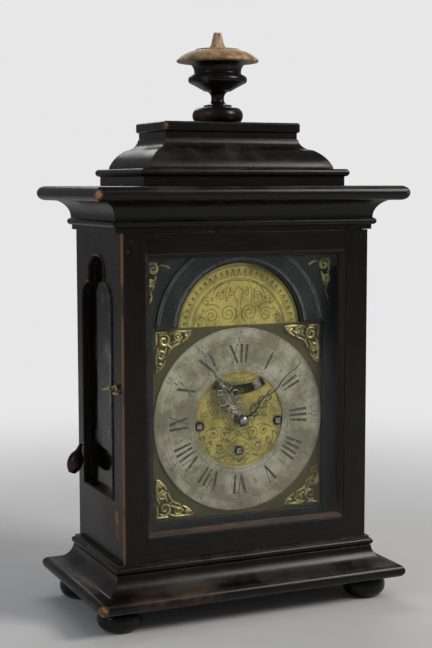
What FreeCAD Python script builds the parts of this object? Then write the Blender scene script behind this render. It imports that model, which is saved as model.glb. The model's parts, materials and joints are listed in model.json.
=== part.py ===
"""Bracket clock: ebonised wooden case, arched brass dial, three-train spring movement.

Millimetres, +Z up, +X to the viewer's right, +Y into the clock. Parts are drawn with Y = 0 at the
front face of the glazed door and are moved to the clock's own origin, the middle of its footprint
at the height of the floor, when they are written out.
"""
import FreeCAD
import Part
import math
import os

V = FreeCAD.Vector

# ---------------------------------------------------------------- driving dimensions: case
CASE_WIDTH = 240.0
CASE_DEPTH = 120.0
BODY_HEIGHT = 287.5
WALL = 9.0
BOARD = 8.0
SEAT_GAP = 0.4            # gap left round doors, panes and plates
DOOR_THICK = 11.5
FRONT_CORE = 5.0          # mouldings are set out from a core rectangle this far behind the door face
BACK_CORE = CASE_DEPTH - 5.5
LEDGE = 30.0              # how far the base slab and the cornice slab stand out

FOOT_HEIGHT = 20.5
FOOT_RADIUS = 20.1
FOOT_INSET_X = 2.5
TENON_RADIUS = 6.0
TENON_LENGTH = 8.0
SLAB_THICK = 12.0
FLARE_RISE = 16.0
BEAD_RISE = 9.0

Z_SLAB = FOOT_HEIGHT
Z_FLARE = Z_SLAB + SLAB_THICK
Z_BEAD = Z_FLARE + FLARE_RISE
Z_BODY = Z_BEAD + BEAD_RISE
Z_CORNICE = Z_BODY + BODY_HEIGHT
HALF = CASE_WIDTH / 2
INNER = HALF - WALL
CASE_FRONT = DOOR_THICK + SEAT_GAP
FRAME_OPENING_MARGIN = 20.0   # how much moulding stays round the hole through base and cornice

CORNICE_FILLET = 4.3
ASTRAGAL = 6.1
CAVETTO_RISE = 16.1
CORNICE_SLAB = 13.0
CORNICE_HOLLOW_SIDE = 30.0    # how much cornice stays beside its hollow, and before and behind it
CORNICE_HOLLOW_FRONT = 22.0
Z_ASTRAGAL = Z_CORNICE + CORNICE_FILLET
Z_CAVETTO = Z_ASTRAGAL + ASTRAGAL
Z_CORNICE_SLAB = Z_CAVETTO + CAVETTO_RISE
Z_PLINTH = Z_CORNICE_SLAB + CORNICE_SLAB

PLINTH_HALF = 97.5
PLINTH_FRONT = 3.3
PLINTH_BACK = CASE_DEPTH - 3.3
PLINTH_RISE = 8.5
PLINTH_HOLLOW_SIDE = 37.5
PLINTH_HOLLOW_FRONT = 30.0
THIN_SLAB = 6.5
THIN_SLAB_LEDGE = 3.5
BELL_RISE = 27.0
BELL_FILLET = 6.0
PAD_HALF = 66.9
PAD_FRONT = 32.5
PAD_BACK = 102.5
PAD_THICK = 9.0
PAD_LIP = 2.0
BELL_SIDE = 7.0               # wood left round the hollow of the bell
BELL_CROWN = 5.0
Z_BELL = Z_PLINTH + PLINTH_RISE + THIN_SLAB
Z_PAD = Z_BELL + BELL_RISE + BELL_FILLET
Z_FINIAL = Z_PAD + PAD_THICK
FINIAL_Y = (PAD_FRONT + PAD_BACK) / 2
URN_HEIGHT = 55.0
LID_RISE = 10.8

# ---------------------------------------------------------------- doors, windows, hinges
STILE = 22.5
DOOR_RAIL_LOW = 20.5
DOOR_RAIL_TOP = 18.0
DOOR_MOULD = 5.0
DOOR_MOULD_FRONT = 0.5
GLASS_FRONT = 4.5
GLASS = 2.0
BACK_BEAD = 4.0
BACK_DOOR_THICK = 7.2
BACK_STILE = 24.0
BACK_RAIL = 18.5
WINDOW_FRONT = 26.5
WINDOW_BEHIND = 18.5          # panel left behind the window
WINDOW_BACK = CASE_DEPTH - WINDOW_BEHIND
WINDOW_SILL = 54.0            # above the foot of the body
WINDOW_STRAIGHT = 171.5       # rises of the sides, the round shoulders, the neck and the crown
WINDOW_ROUND = 15.0
WINDOW_NECK = 11.5
WINDOW_CROWN = 12.8
WINDOW_SHOULDER = WINDOW_SILL + WINDOW_STRAIGHT
WINDOW_CUSP = WINDOW_SHOULDER + WINDOW_ROUND
WINDOW_SPRING = WINDOW_CUSP + WINDOW_NECK
WINDOW_TOP = WINDOW_SPRING + WINDOW_CROWN
WINDOW_LOBE = 19.6            # half width of the small top arch
PANE_REBATE = 3.0
PANE_LAP = 3.0
KNUCKLE = 2.2
PIN_RADIUS = 1.2
RUNNING = 0.05
LEAF_THICK = 1.2
LEAF_REACH = 8.5
LEAF_HEIGHT = 26.0
KNUCKLE_GAP = 0.3
HINGE_LOW = 42.5              # hinge centres above the foot of the body
HINGE_HIGH = 245.0

# ---------------------------------------------------------------- dial
DIAL_FRONT = 22.0
DIAL_THICK = 2.0
CENTRE_Z = 174.0
RING_OUTER = 83.5
RING_INNER = 44.0
RING_SIDE = 0.6               # plate left bare beside, above and below the ring
RING_ABOVE = 2.3
RING_BELOW = 3.5
DIAL_HALF = RING_OUTER + RING_SIDE
DIAL_FOOT = CENTRE_Z - RING_OUTER - RING_BELOW
DIAL_SHOULDER = CENTRE_Z + RING_OUTER + RING_ABOVE
ARCH_RADIUS = 60.6
ARCH_SINK = 4.8               # how far the arch's centre lies under the shoulders
ARCH_CENTRE_Z = DIAL_SHOULDER - ARCH_SINK
RING_THICK = 1.2
SPANDREL_THICK = 1.8
MASK_FRONT = 18.0
MASK_THICK = 8.0
BAND_MARGIN = 2.4
BAND_WIDTH = 20.0
BAND_INNER = ARCH_RADIUS + BAND_MARGIN
BAND_OUTER = BAND_INNER + BAND_WIDTH
BAND_PROUD = 1.5
SCROLL_OUT = 11.9             # the middle of each scroll beyond the band
SCROLL_ANGLE = 32.5           # and above the level of the arch's centre
SCROLL_RADIUS = 8.0
WIND_X = 39.2
WIND_Z = 169.8
WIND_LOW_Z = 144.9
WIND_HOLE = 4.9
VERGE_Z = 249.4
SLOT_INNER = 44.0
SLOT_OUTER = 53.0
SLOT_HALF_ANGLE = 31.0
MOCK_ANGLE = 23.6             # the bob is caught on its hook, out to the right
MOCK_RADIUS = 48.5
HOUR_ANGLE = -31.0            # clockwise from twelve
MINUTE_ANGLE = 49.4

# ---------------------------------------------------------------- movement
PLATE_FRONT = 36.0
PLATE_THICK = 2.5
BEHIND_PLATES = 30.0          # from the space between the plates to the back of the case
PLATE_SPACE = CASE_DEPTH - BEHIND_PLATES - PLATE_FRONT - PLATE_THICK
PLATE_HALF = 63.0
PLATE_FOOT = 106.0
PLATE_TOP = 262.0
BACK_PLATE = PLATE_FRONT + PLATE_THICK + PLATE_SPACE
BACK_FACE = BACK_PLATE + PLATE_THICK
PILLAR_RADIUS = 3.2
PILLAR_INSET = 7.0
PILLAR_LOW_Z = PLATE_FOOT + 8.0
PILLAR_HIGH_Z = PLATE_TOP - 10.0
SEAT_THICK = 8.0
CLEAT = 10.0
DRUM_RADIUS = 17.5
DRUM_WALL = 1.2
DRUM_FRONT = 43.0
DRUM_ROOM = 17.5              # space between the plates less the drum's length
DRUM_LENGTH = PLATE_SPACE - DRUM_ROOM
WHEEL_THICK = 2.4
ARBOR_RADIUS = 3.2
SQUARE_HALF = 2.4
RATCHET_RADIUS = 9.0
RATCHET_TEETH = 18
GREAT_TEETH = 96
SIDE_GREAT_TEETH = 72
SIDE_GREAT_PITCH = 21.6
CENTRE_PINION_TEETH = 8
CENTRE_WHEEL_TEETH = 72
CENTRE_WHEEL_MODULE = 0.5
CENTRE_WHEEL_THICK = 2.0
CENTRE_WHEEL_AHEAD = 8.0      # its front face before the back plate
CONTRATE_PINION_TEETH = 8
CONTRATE_TEETH = 48
CROWN_PINION_TEETH = 8
CONTRATE_PITCH = 12.5
CROWN_TEETH = 15
CROWN_RADIUS = 11.0
CANNON_TEETH = 12
MINUTE_WHEEL_TEETH = 36
MINUTE_PINION_TEETH = 12
HOUR_WHEEL_TEETH = 48
MINUTE_WHEEL_ANGLE = 45.0     # where the minute wheel lies from the centre
MOTION_DISTANCE = 18.0
THIN_ARBOR = 1.5
CANNON_PIPE = 2.6
HOUR_PIPE = 4.0
ADDENDUM = 0.6
DEDENDUM = 1.2
PENDULUM_LENGTH = 135.0
HOLD_ABOVE_BOB = 35.0         # where the hook that holds it still meets the rod
BOB_RADIUS = 14.0
BOB_THICK = 8.0
PENDULUM_Y = BACK_FACE + 7.0
ROD_RADIUS = 1.0
BELL_HOUR = (-38.0, 34.0, 22.0)      # x of the post, rim radius, height
BELL_QUARTER = (38.0, 29.0, 19.0)
BELL_WALL = 1.5
BELL_RIM_ABOVE = 9.0
BELL_BEHIND = 28.0            # the bells' middle behind the front plate
BELL_Y = PLATE_FRONT + BELL_BEHIND
POST_RADIUS = 2.5
BELL_PLATE = 2.5
HAMMER_Z = 236.0
HAMMER_X = 56.0
HAMMER_HEAD = 4.5
HAMMER_GAP = 0.8

# ---------------------------------------------------------------- hook and pull
HOOK_PIVOT_Y = 17.5
HOOK_Z = 211.0
HOOK_REACH = 12.0
HOOK_WIRE = 0.9
HOOK_EYE = 2.6
HOOK_EYE_HALF = 1.1
HOOK_WASHER = 1.9
HOOK_DROP = 4.4
HOOK_LIFT = 17.0              # degrees above its latched place, as it hangs now
HOOK_STANDOFF = 3.5
PULL_Z = 144.8
PULL_RADIUS = 7.3
PULL_LENGTH = 27.0
PULL_NECK = 1.5
PULL_OUT = 2.8                # the neck's middle stands this far off the side
PULL_TILT = 19.0              # it hangs out, its belly resting near the side
PULL_BUSH = 2.0
BUSH_MARGIN = 0.3             # wood left between the pane's rebate and the bush
PULL_Y = WINDOW_BACK + PANE_LAP + BUSH_MARGIN + PULL_BUSH
STEM_RADIUS = 0.8
STEM_INSIDE = 27.0

SHIFT = V(0, -(FRONT_CORE + BACK_CORE) / 2, 0)
PARTS = {}


# ---------------------------------------------------------------- drawing helpers
def box(x0, x1, y0, y1, z0, z1):
    return Part.makeBox(x1 - x0, y1 - y0, z1 - z0, V(x0, y0, z0))


def rod_y(x, z, radius, y0, y1):
    return Part.makeCylinder(radius, y1 - y0, V(x, y0, z), V(0, 1, 0))


def rod_x(y, z, radius, x0, x1):
    return Part.makeCylinder(radius, x1 - x0, V(x0, y, z), V(1, 0, 0))


def rod_z(x, y, radius, z0, z1):
    return Part.makeCylinder(radius, z1 - z0, V(x, y, z0), V(0, 0, 1))


def join(shapes):
    first = shapes[0]
    return first.multiFuse(list(shapes[1:])).removeSplitter() if len(shapes) > 1 else first


def path(place, start, steps):
    """Edges through 2D steps: (a, b) is a line's end, ((a, b), (c, d)) an arc's middle and end."""
    edges = []
    here = place(*start)
    for step in steps:
        if isinstance(step[0], tuple):
            end = place(*step[1])
            edges.append(Part.Arc(here, place(*step[0]), end).toShape())
        else:
            end = place(*step)
            edges.append(Part.LineSegment(here, end).toShape())
        here = end
    return edges


def face(place, start, steps, close=True):
    """A flat face inside the steps, closed by a line back to the start."""
    last = steps[-1][1] if isinstance(steps[-1][0], tuple) else steps[-1]
    if close and last != start:
        steps = list(steps) + [start]
    return Part.Face(Part.Wire(path(place, start, steps)))


def polygon_face(points):
    return Part.Face(Part.makePolygon(list(points) + [points[0]]))


def upright(x, z):
    return V(x, 0, z)


def prism_y(start, steps, y0, y1):
    """A shape drawn in X and Z, run along Y."""
    plate = face(upright, start, steps)
    plate.translate(V(0, y0, 0))
    return plate.extrude(V(0, y1 - y0, 0))


def turned(x, y, start, steps):
    """A shape turned about the upright line through x, y, from radius and height steps."""
    half = face(lambda r, z: V(x + r, y, z), start, steps)
    return half.revolve(V(x, y, 0), V(0, 0, 1), 360)


def moulded(start, steps, half, front, back, back_share=1.0):
    """A mitred moulding: the profile of (stand-out, height) steps run round a rectangle."""
    def section(left, right):
        edges = path(left, start, steps) + path(right, start, steps)
        last = steps[-1][1] if isinstance(steps[-1][0], tuple) else steps[-1]
        edges.append(Part.LineSegment(left(*start), right(*start)).toShape())
        edges.append(Part.LineSegment(left(*last), right(*last)).toShape())
        return Part.Face(Part.Wire(Part.__sortEdges__(edges)))

    far = 500.0
    across = section(lambda p, z: V(-half - p, -far, z), lambda p, z: V(half + p, -far, z))
    along = section(lambda p, z: V(-far, front - p, z), lambda p, z: V(-far, back + back_share * p, z))
    return across.extrude(V(0, 2 * far, 0)).common(along.extrude(V(2 * far, 0, 0)))


def toothed(teeth, pitch_radius, root_share, tip_share, turn):
    """The outline of a spur wheel in X and Z; turn is the place of its first tooth, in degrees."""
    module = 2 * pitch_radius / teeth
    low = pitch_radius - DEDENDUM * module
    high = pitch_radius + ADDENDUM * module
    half_pitch = 180.0 / teeth
    points = []
    for tooth in range(teeth):
        for share, radius in ((-root_share, low), (-tip_share, high), (tip_share, high), (root_share, low)):
            angle = math.radians(turn + 2 * half_pitch * tooth + share * half_pitch)
            points.append(V(radius * math.cos(angle), 0, radius * math.sin(angle)))
    return points


def wheel(x, z, y0, thick, teeth, pitch_radius, turn=0.0, leaf=False, arms=0):
    shares = (0.25, 0.08) if leaf else (0.42, 0.12)
    blank = polygon_face(toothed(teeth, pitch_radius, *shares, turn)).extrude(V(0, thick, 0))
    blank.translate(V(x, y0, z))
    if arms:
        rim, hub = pitch_radius * 0.84, pitch_radius * 0.28
        web = rod_y(x, z, rim, y0, y0 + thick).cut(rod_y(x, z, hub, y0, y0 + thick))
        bars = [box(-rim, rim, y0, y0 + thick, -hub / 3, hub / 3) for _ in range(arms // 2)]
        for number, bar in enumerate(bars):
            bar.rotate(V(0, 0, 0), V(0, 1, 0), 360.0 / arms * number)
            bar.translate(V(x, 0, z))
        blank = blank.cut(web.cut(join(bars) if len(bars) > 1 else bars[0]))
    return blank


def ring_y(x, z, outer, inner, y0, y1):
    circles = [Part.Wire(Part.makeCircle(r, V(x, y0, z), V(0, 1, 0))) for r in (outer, inner)]
    return Part.makeFace(circles, "Part::FaceMakerBullseye").extrude(V(0, y1 - y0, 0))


def add(name, *shapes):
    PARTS[name] = Part.makeCompound(list(shapes)) if len(shapes) > 1 else shapes[0]


# ---------------------------------------------------------------- case
def feet():
    bottom = 11.0
    neck = 13.5
    steps = [(bottom, 0), ((FOOT_RADIUS, FOOT_HEIGHT * 0.5), (neck, FOOT_HEIGHT)),
             (TENON_RADIUS, FOOT_HEIGHT), (TENON_RADIUS, FOOT_HEIGHT + TENON_LENGTH),
             (0, FOOT_HEIGHT + TENON_LENGTH)]
    add("bun_feet", *[turned(x, y, (0, 0), steps) for x, y in foot_places()])


def foot_places():
    return [(x, y) for x in (-HALF - FOOT_INSET_X, HALF + FOOT_INSET_X) for y in (FRONT_CORE, BACK_CORE - 3.5)]


def frame_opening(z0, z1):
    margin = FRAME_OPENING_MARGIN
    return box(-HALF + margin, HALF - margin, FRONT_CORE + margin, BACK_CORE - margin, z0, z1)


def base():
    edge = LEDGE - SLAB_THICK / 2
    root, nose, shelf = 6.3, 7.8, FRONT_CORE
    steps = [((LEDGE, Z_SLAB + SLAB_THICK / 2), (edge, Z_FLARE)),
             ((LEDGE * 0.39, Z_FLARE + FLARE_RISE * 0.31), (root, Z_BEAD)),
             (shelf, Z_BEAD + 0.5),
             ((nose, Z_BEAD + 3.7), (shelf, Z_BEAD + 7.0)), (shelf, Z_BODY)]
    solid = moulded((edge, Z_SLAB), steps, HALF, FRONT_CORE, BACK_CORE)
    sockets = [rod_z(x, y, TENON_RADIUS, Z_SLAB, Z_SLAB + TENON_LENGTH) for x, y in foot_places()]
    add("base_moulding", solid.cut(frame_opening(Z_SLAB, Z_BODY)).cut(join(sockets)))
    add("bottom_board", box(-INNER, INNER, CASE_FRONT, CASE_DEPTH, Z_BODY, Z_BODY + BOARD))


def window_outline(grow=0.0):
    """Half-round shoulders under a small arch; grow widens it on every side."""
    middle = (WINDOW_FRONT + WINDOW_BACK) / 2
    reach = (WINDOW_BACK - WINDOW_FRONT) / 2 + grow
    lobe = WINDOW_LOBE + grow
    sill, shoulder = Z_BODY + WINDOW_SILL - grow, Z_BODY + WINDOW_SHOULDER
    cusp, spring = Z_BODY + WINDOW_CUSP + grow, Z_BODY + WINDOW_SPRING
    top = Z_BODY + WINDOW_TOP + grow
    turn_y, turn_z = lobe + (reach - lobe) * 0.72, shoulder + (cusp - shoulder) * 0.72
    rise_y, rise_z = lobe * 0.72, spring + (top - spring) * 0.74
    steps = [(middle + reach, shoulder), ((middle + turn_y, turn_z), (middle + lobe, cusp)),
             (middle + lobe, spring), ((middle + rise_y, rise_z), (middle, top)),
             ((middle - rise_y, rise_z), (middle - lobe, spring)), (middle - lobe, cusp),
             ((middle - turn_y, turn_z), (middle - reach, shoulder)), (middle - reach, sill)]
    return face(lambda y, z: V(0, y, z), (middle + reach, sill), steps)


def sides():
    panels, panes = [], []
    pane_box = (WINDOW_FRONT - PANE_LAP, WINDOW_BACK + PANE_LAP,
                Z_BODY + WINDOW_SILL - PANE_LAP, Z_BODY + WINDOW_TOP + PANE_LAP)
    for side in (-1, 1):
        low, high = sorted((side * INNER, side * HALF))
        panel = box(low, high, CASE_FRONT, CASE_DEPTH, Z_BODY, Z_CORNICE)
        hole = window_outline().extrude(V(WALL, 0, 0))
        hole.translate(V(low, 0, 0))
        near, far = sorted((side * INNER, side * (INNER + PANE_REBATE)))
        rebate = box(near, far, pane_box[0], pane_box[1], pane_box[2], pane_box[3])
        panel = panel.cut(hole).cut(rebate)
        if side < 0:
            panel = panel.cut(rod_x(PULL_Y, PULL_Z, PULL_BUSH, low, high))
            panel = panel.cut(rod_x(HOOK_PIVOT_Y, HOOK_Z, 1.0, -HALF, -HALF + 6.0))
        panels.append(panel)
        near, far = sorted((side * (INNER + PANE_REBATE - GLASS), side * (INNER + PANE_REBATE)))
        gap = SEAT_GAP / 2
        panes.append(box(near, far, pane_box[0] + gap, pane_box[1] - gap, pane_box[2], pane_box[3] - gap))
    add("side_panels", *panels)
    add("side_panes", *panes)


def top_and_back():
    add("top_board", box(-INNER, INNER, CASE_FRONT, CASE_DEPTH, Z_CORNICE - BOARD, Z_CORNICE))
    back = (CASE_DEPTH - BACK_DOOR_THICK - 1.0, CASE_DEPTH)
    low = box(-INNER, INNER, *back, Z_BODY + BOARD, Z_BODY + BACK_RAIL)
    high = box(-INNER, INNER, *back, Z_CORNICE - BACK_RAIL, Z_CORNICE - BOARD)
    add("back_rails", low, high)


def arch_opening(half, foot, shoulder, radius, y0, y1):
    """The outline of the arched dial: a square with a smaller half round on its head."""
    body = box(-half, half, y0, y1, foot, shoulder)
    head = rod_y(0, ARCH_CENTRE_Z, radius, y0, y1)
    return body.fuse(head.common(box(-half, half, y0, y1, ARCH_CENTRE_Z, ARCH_CENTRE_Z + 2 * radius)))


def mask():
    y0, y1 = MASK_FRONT, MASK_FRONT + MASK_THICK
    board = box(-INNER, INNER, y0, y1, Z_BODY + BOARD, Z_CORNICE - BOARD)
    band = ring_y(0, ARCH_CENTRE_Z, BAND_OUTER, BAND_INNER, y0 - BAND_PROUD, y0)
    band = band.common(box(-HALF, HALF, y0 - BAND_PROUD, y0, DIAL_SHOULDER + SEAT_GAP, Z_CORNICE - BOARD))
    hole = arch_opening(DIAL_HALF + SEAT_GAP, DIAL_FOOT - SEAT_GAP, DIAL_SHOULDER + SEAT_GAP,
                        ARCH_RADIUS + SEAT_GAP, y0, y1)
    add("mask_board", board.fuse(band).removeSplitter().cut(hole))
    scrolls = []
    away, turn = BAND_OUTER + SCROLL_OUT, math.radians(SCROLL_ANGLE)
    x, z, r = away * math.cos(turn), ARCH_CENTRE_Z + away * math.sin(turn), SCROLL_RADIUS
    for side in (-1, 1):
        leaf = ring_y(side * x, z, r, r * 0.62, y0 - 1.2, y0)
        tail = prism_y((side * (x - r * 0.75), z - r * 0.75),
                       [(side * (x + r * 0.5), z - r * 0.4), (side * (x + r), z - r * 4.75),
                        (side * (x + r * 0.4), z - r * 2.5)], y0 - 1.2, y0)
        scrolls.append(leaf.fuse(tail))
    add("mask_scrolls", *scrolls)


def cornice():
    fillet, bead, cove_in, cove_out = 4.5, 8.0, 5.3, 16.5
    edge = LEDGE - CORNICE_SLAB / 2
    steps = [(fillet, Z_ASTRAGAL), (cove_in, Z_ASTRAGAL),
             ((bead, Z_ASTRAGAL + ASTRAGAL / 2), (cove_in, Z_CAVETTO)),
             ((cove_in + (cove_out - cove_in) * 0.3, Z_CAVETTO + CAVETTO_RISE * 0.66), (cove_out, Z_CORNICE_SLAB)),
             (edge, Z_CORNICE_SLAB), ((LEDGE, Z_CORNICE_SLAB + CORNICE_SLAB / 2), (edge, Z_PLINTH))]
    solid = moulded((fillet, Z_CORNICE), steps, HALF, FRONT_CORE, BACK_CORE)
    beside, before = CORNICE_HOLLOW_SIDE, CORNICE_HOLLOW_FRONT
    hole = box(-HALF + beside, HALF - beside, FRONT_CORE + before, BACK_CORE - before, Z_CORNICE, Z_PLINTH)
    add("cornice_moulding", solid.cut(hole))


def bell_top():
    z1 = Z_PLINTH + PLINTH_RISE
    ledge = THIN_SLAB_LEDGE
    steps = [(0, z1), (ledge - 2, z1), ((ledge, z1 + THIN_SLAB / 2), (ledge - 2, Z_BELL))]
    board = moulded((0, Z_PLINTH), steps, PLINTH_HALF, PLINTH_FRONT, PLINTH_BACK)
    beside, before = PLINTH_HOLLOW_SIDE, PLINTH_HOLLOW_FRONT
    hole = box(-PLINTH_HALF + beside, PLINTH_HALF - beside, PLINTH_FRONT + before, PLINTH_BACK - before,
               Z_PLINTH, Z_BELL)
    add("plinth_board", board.cut(hole))
    half, front, back = PAD_HALF - PAD_LIP, PAD_FRONT + PAD_LIP, PAD_BACK - PAD_LIP
    swell = PLINTH_HALF + ledge - half - 11.5
    z_fillet = Z_BELL + BELL_RISE
    back_share = (PLINTH_BACK + ledge - back) / (front - PLINTH_FRONT + ledge)
    steps = [(swell, Z_BELL + 1.5), ((swell * 0.77, Z_BELL + BELL_RISE * 0.405), (swell * 0.44, Z_BELL + BELL_RISE * 0.64)),
             ((swell * 0.15, Z_BELL + BELL_RISE * 0.77), (0.8, z_fillet)), (0, z_fillet), (0, Z_PAD)]
    bell = moulded((swell, Z_BELL), steps, half, front, back, back_share)
    hole = box(-half + BELL_SIDE, half - BELL_SIDE, front + BELL_SIDE, back - BELL_SIDE, Z_BELL, z_fillet - BELL_CROWN)
    add("bell_top_moulding", bell.cut(hole))
    pad = moulded((PAD_LIP - 1.2, Z_PAD), [(PAD_LIP, Z_PAD + 1.2), (PAD_LIP, Z_FINIAL - 1.2), (PAD_LIP - 1.2, Z_FINIAL)],
                  half, front, back)
    add("top_pad", pad.cut(rod_z(0, FINIAL_Y, TENON_RADIUS, Z_FINIAL - TENON_LENGTH, Z_FINIAL)))


def finial():
    z = Z_FINIAL
    lid = z + URN_HEIGHT
    lid_top = lid + LID_RISE
    urn = [(TENON_RADIUS, z - TENON_LENGTH), (TENON_RADIUS, z), (19.5, z), ((23.2, z + 7.7), (18.5, z + 14.0)),
           (12.6, z + 14.6), ((12.9, z + 15.8), (12.0, z + 16.6)), ((7.4, z + 18.0), (5.9, z + 22.3)),
           ((6.9, z + 26.3), (12.2, z + 29.1)), ((19.5, z + 33.2), (26.0, z + 36.6)),
           ((26.7, z + 40.6), (22.6, z + 43.4)), (21.5, z + 45.0), ((22.6, z + 50.6), (27.5, lid)), (0, lid)]
    solid = turned(0, FINIAL_Y, (0, z - TENON_LENGTH), urn)
    socket = rod_z(0, FINIAL_Y, TENON_RADIUS, lid - TENON_LENGTH, lid)
    add("finial_urn", solid.cut(socket))
    cover = [(TENON_RADIUS, lid - TENON_LENGTH), (TENON_RADIUS, lid), (36.4, lid), ((37.5, lid + 1.0), (37.1, lid + 2.2)),
             ((30.5, lid + 7.2), (20.5, lid_top)), (0, lid_top)]
    solid = turned(0, FINIAL_Y, (0, lid - TENON_LENGTH), cover)
    add("finial_lid", solid.cut(rod_z(0, FINIAL_Y, 3.0, lid_top - 6.0, lid_top)))
    spire = [(3.0, lid_top - 6.0), (3.0, lid_top), (20.0, lid_top), (20.0, lid_top + 1.0), (8.8, lid_top + 1.6),
             ((6.4, lid_top + 4.6), (5.2, lid_top + 8.5)), (3.4, lid_top + 16.0), (0, lid_top + 16.0)]
    solid = turned(0, FINIAL_Y, (0, lid_top - 6.0), spire)
    split = prism_y((-0.3, lid_top + 8.0), [(-1.6, lid_top + 17.0), (1.2, lid_top + 17.0)], FINIAL_Y - 10, FINIAL_Y + 10)
    add("finial_spire", solid.cut(split))


# ---------------------------------------------------------------- doors
def front_door():
    z0, z1 = Z_BODY + SEAT_GAP, Z_CORNICE - SEAT_GAP
    hole = (Z_BODY + DOOR_RAIL_LOW, Z_CORNICE - DOOR_RAIL_TOP)
    inner = HALF - STILE
    left = box(-HALF, -inner, 0, DOOR_THICK, z0, z1)
    eye_y, eye_z = HOOK_PIVOT_Y - HOOK_REACH, HOOK_Z - 3.0
    left = left.cut(rod_x(eye_y, eye_z, 0.9, -HALF, -HALF + 6.0))
    right = box(inner, HALF, 0, DOOR_THICK, z0, z1)
    add("door_stiles", left, right)
    add("door_rails", box(-inner, inner, 0, DOOR_THICK, z0, hole[0]), box(-inner, inner, 0, DOOR_THICK, hole[1], z1))
    front = bead_frame(inner, hole, DOOR_MOULD, DOOR_MOULD_FRONT, GLASS_FRONT, True)
    back = bead_frame(inner, hole, BACK_BEAD, GLASS_FRONT + GLASS, DOOR_THICK - 0.5, False)
    add("door_glazing_beads", front, back)
    gap = SEAT_GAP
    add("door_glass", box(-inner + gap, inner - gap, GLASS_FRONT, GLASS_FRONT + GLASS, hole[0] + gap, hole[1] - gap))
    ring = rod_z(-HALF - HOOK_STANDOFF, eye_y, 3.2, eye_z - 0.8, eye_z + 0.8)
    ring = ring.cut(rod_z(-HALF - HOOK_STANDOFF, eye_y, 2.0, eye_z - 0.8, eye_z + 0.8))
    shank = rod_x(eye_y, eye_z, 0.9, -HALF - HOOK_STANDOFF + 2.4, -HALF + 6.0)
    shank = shank.cut(rod_z(-HALF - HOOK_STANDOFF, eye_y, 2.0, eye_z - 2, eye_z + 2))
    add("door_eye", ring.fuse(shank).removeSplitter())


def bead_frame(inner, hole, width, y0, y1, sloped):
    """A mitred frame of bead lining the door's opening, sloped towards the glass when it shows."""
    outer = box(-inner, inner, y0, y1, hole[0], hole[1])
    if not sloped:
        return outer.cut(box(-inner + width, inner - width, y0, y1, hole[0] + width, hole[1] - width))
    mouth, throat = 1.2, width
    near = Part.makePolygon(rectangle(inner - mouth, hole[0] + mouth, hole[1] - mouth, y0))
    far = Part.makePolygon(rectangle(inner - throat, hole[0] + throat, hole[1] - throat, y1))
    return outer.cut(Part.makeLoft([near, far], True, True))


def rectangle(half, low, high, y):
    return [V(-half, y, low), V(half, y, low), V(half, y, high), V(-half, y, high), V(-half, y, low)]


def back_door():
    z0, z1 = Z_BODY + BACK_RAIL + SEAT_GAP, Z_CORNICE - BACK_RAIL - SEAT_GAP
    half = INNER - SEAT_GAP
    y0, y1 = CASE_DEPTH - BACK_DOOR_THICK, CASE_DEPTH
    hole = box(-half + BACK_STILE, half - BACK_STILE, y0, y1, z0 + BACK_STILE, z1 - BACK_STILE)
    rebate = box(-half + BACK_STILE - 4, half - BACK_STILE + 4, y0, y0 + 3, z0 + BACK_STILE - 4, z1 - BACK_STILE + 4)
    knob_x, knob_z = -half + BACK_STILE / 2, (z0 + z1) / 2
    frame = box(-half, half, y0, y1, z0, z1).cut(hole).cut(rebate)
    add("back_door_frame", frame.cut(rod_y(knob_x, knob_z, 2.0, y0, y1)))
    add("back_door_glass", box(-half + BACK_STILE - 3.8, half - BACK_STILE + 3.8, y0 + 3 - GLASS, y0 + 3,
                               z0 + BACK_STILE - 4, z1 - BACK_STILE + 3.8))
    knob = rod_y(knob_x, knob_z, 2.0, y0, y1 + 4).fuse(rod_y(knob_x, knob_z, 5.5, y1 + 4, y1 + 9))
    knob = knob.fuse(rod_y(knob_x, knob_z, 4.0, y1, y1 + 1.2)).removeSplitter()
    add("back_knob", knob)


def leaf(axis, along, out, z, outer_knuckles):
    """One leaf of a butt hinge: a plate, and its knuckles round the pin at axis."""
    third = LEAF_HEIGHT / 3
    spans = [(-1.5, -0.5), (0.5, 1.5)] if outer_knuckles else [(-0.5, 0.5)]
    shapes = []

    def slab(t0, t1, z0, z1):
        xs, ys = zip(*[(axis[0] + along[0] * t + out[0] * n, axis[1] + along[1] * t + out[1] * n)
                       for t in (t0, t1) for n in (-KNUCKLE, LEAF_THICK - KNUCKLE)])
        return box(min(xs), max(xs), min(ys), max(ys), z0, z1)

    shapes.append(slab(KNUCKLE + KNUCKLE_GAP, LEAF_REACH, z - LEAF_HEIGHT / 2, z + LEAF_HEIGHT / 2))
    for low, high in spans:
        z0, z1 = z + low * third + KNUCKLE_GAP / 2, z + high * third - KNUCKLE_GAP / 2
        shapes.append(rod_z(axis[0], axis[1], KNUCKLE, z0, z1))
        shapes.append(slab(0, KNUCKLE + KNUCKLE_GAP, z0, z1))
    bore = PIN_RADIUS if outer_knuckles else PIN_RADIUS + RUNNING
    return join(shapes).cut(rod_z(axis[0], axis[1], bore, z - LEAF_HEIGHT, z + LEAF_HEIGHT))


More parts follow.
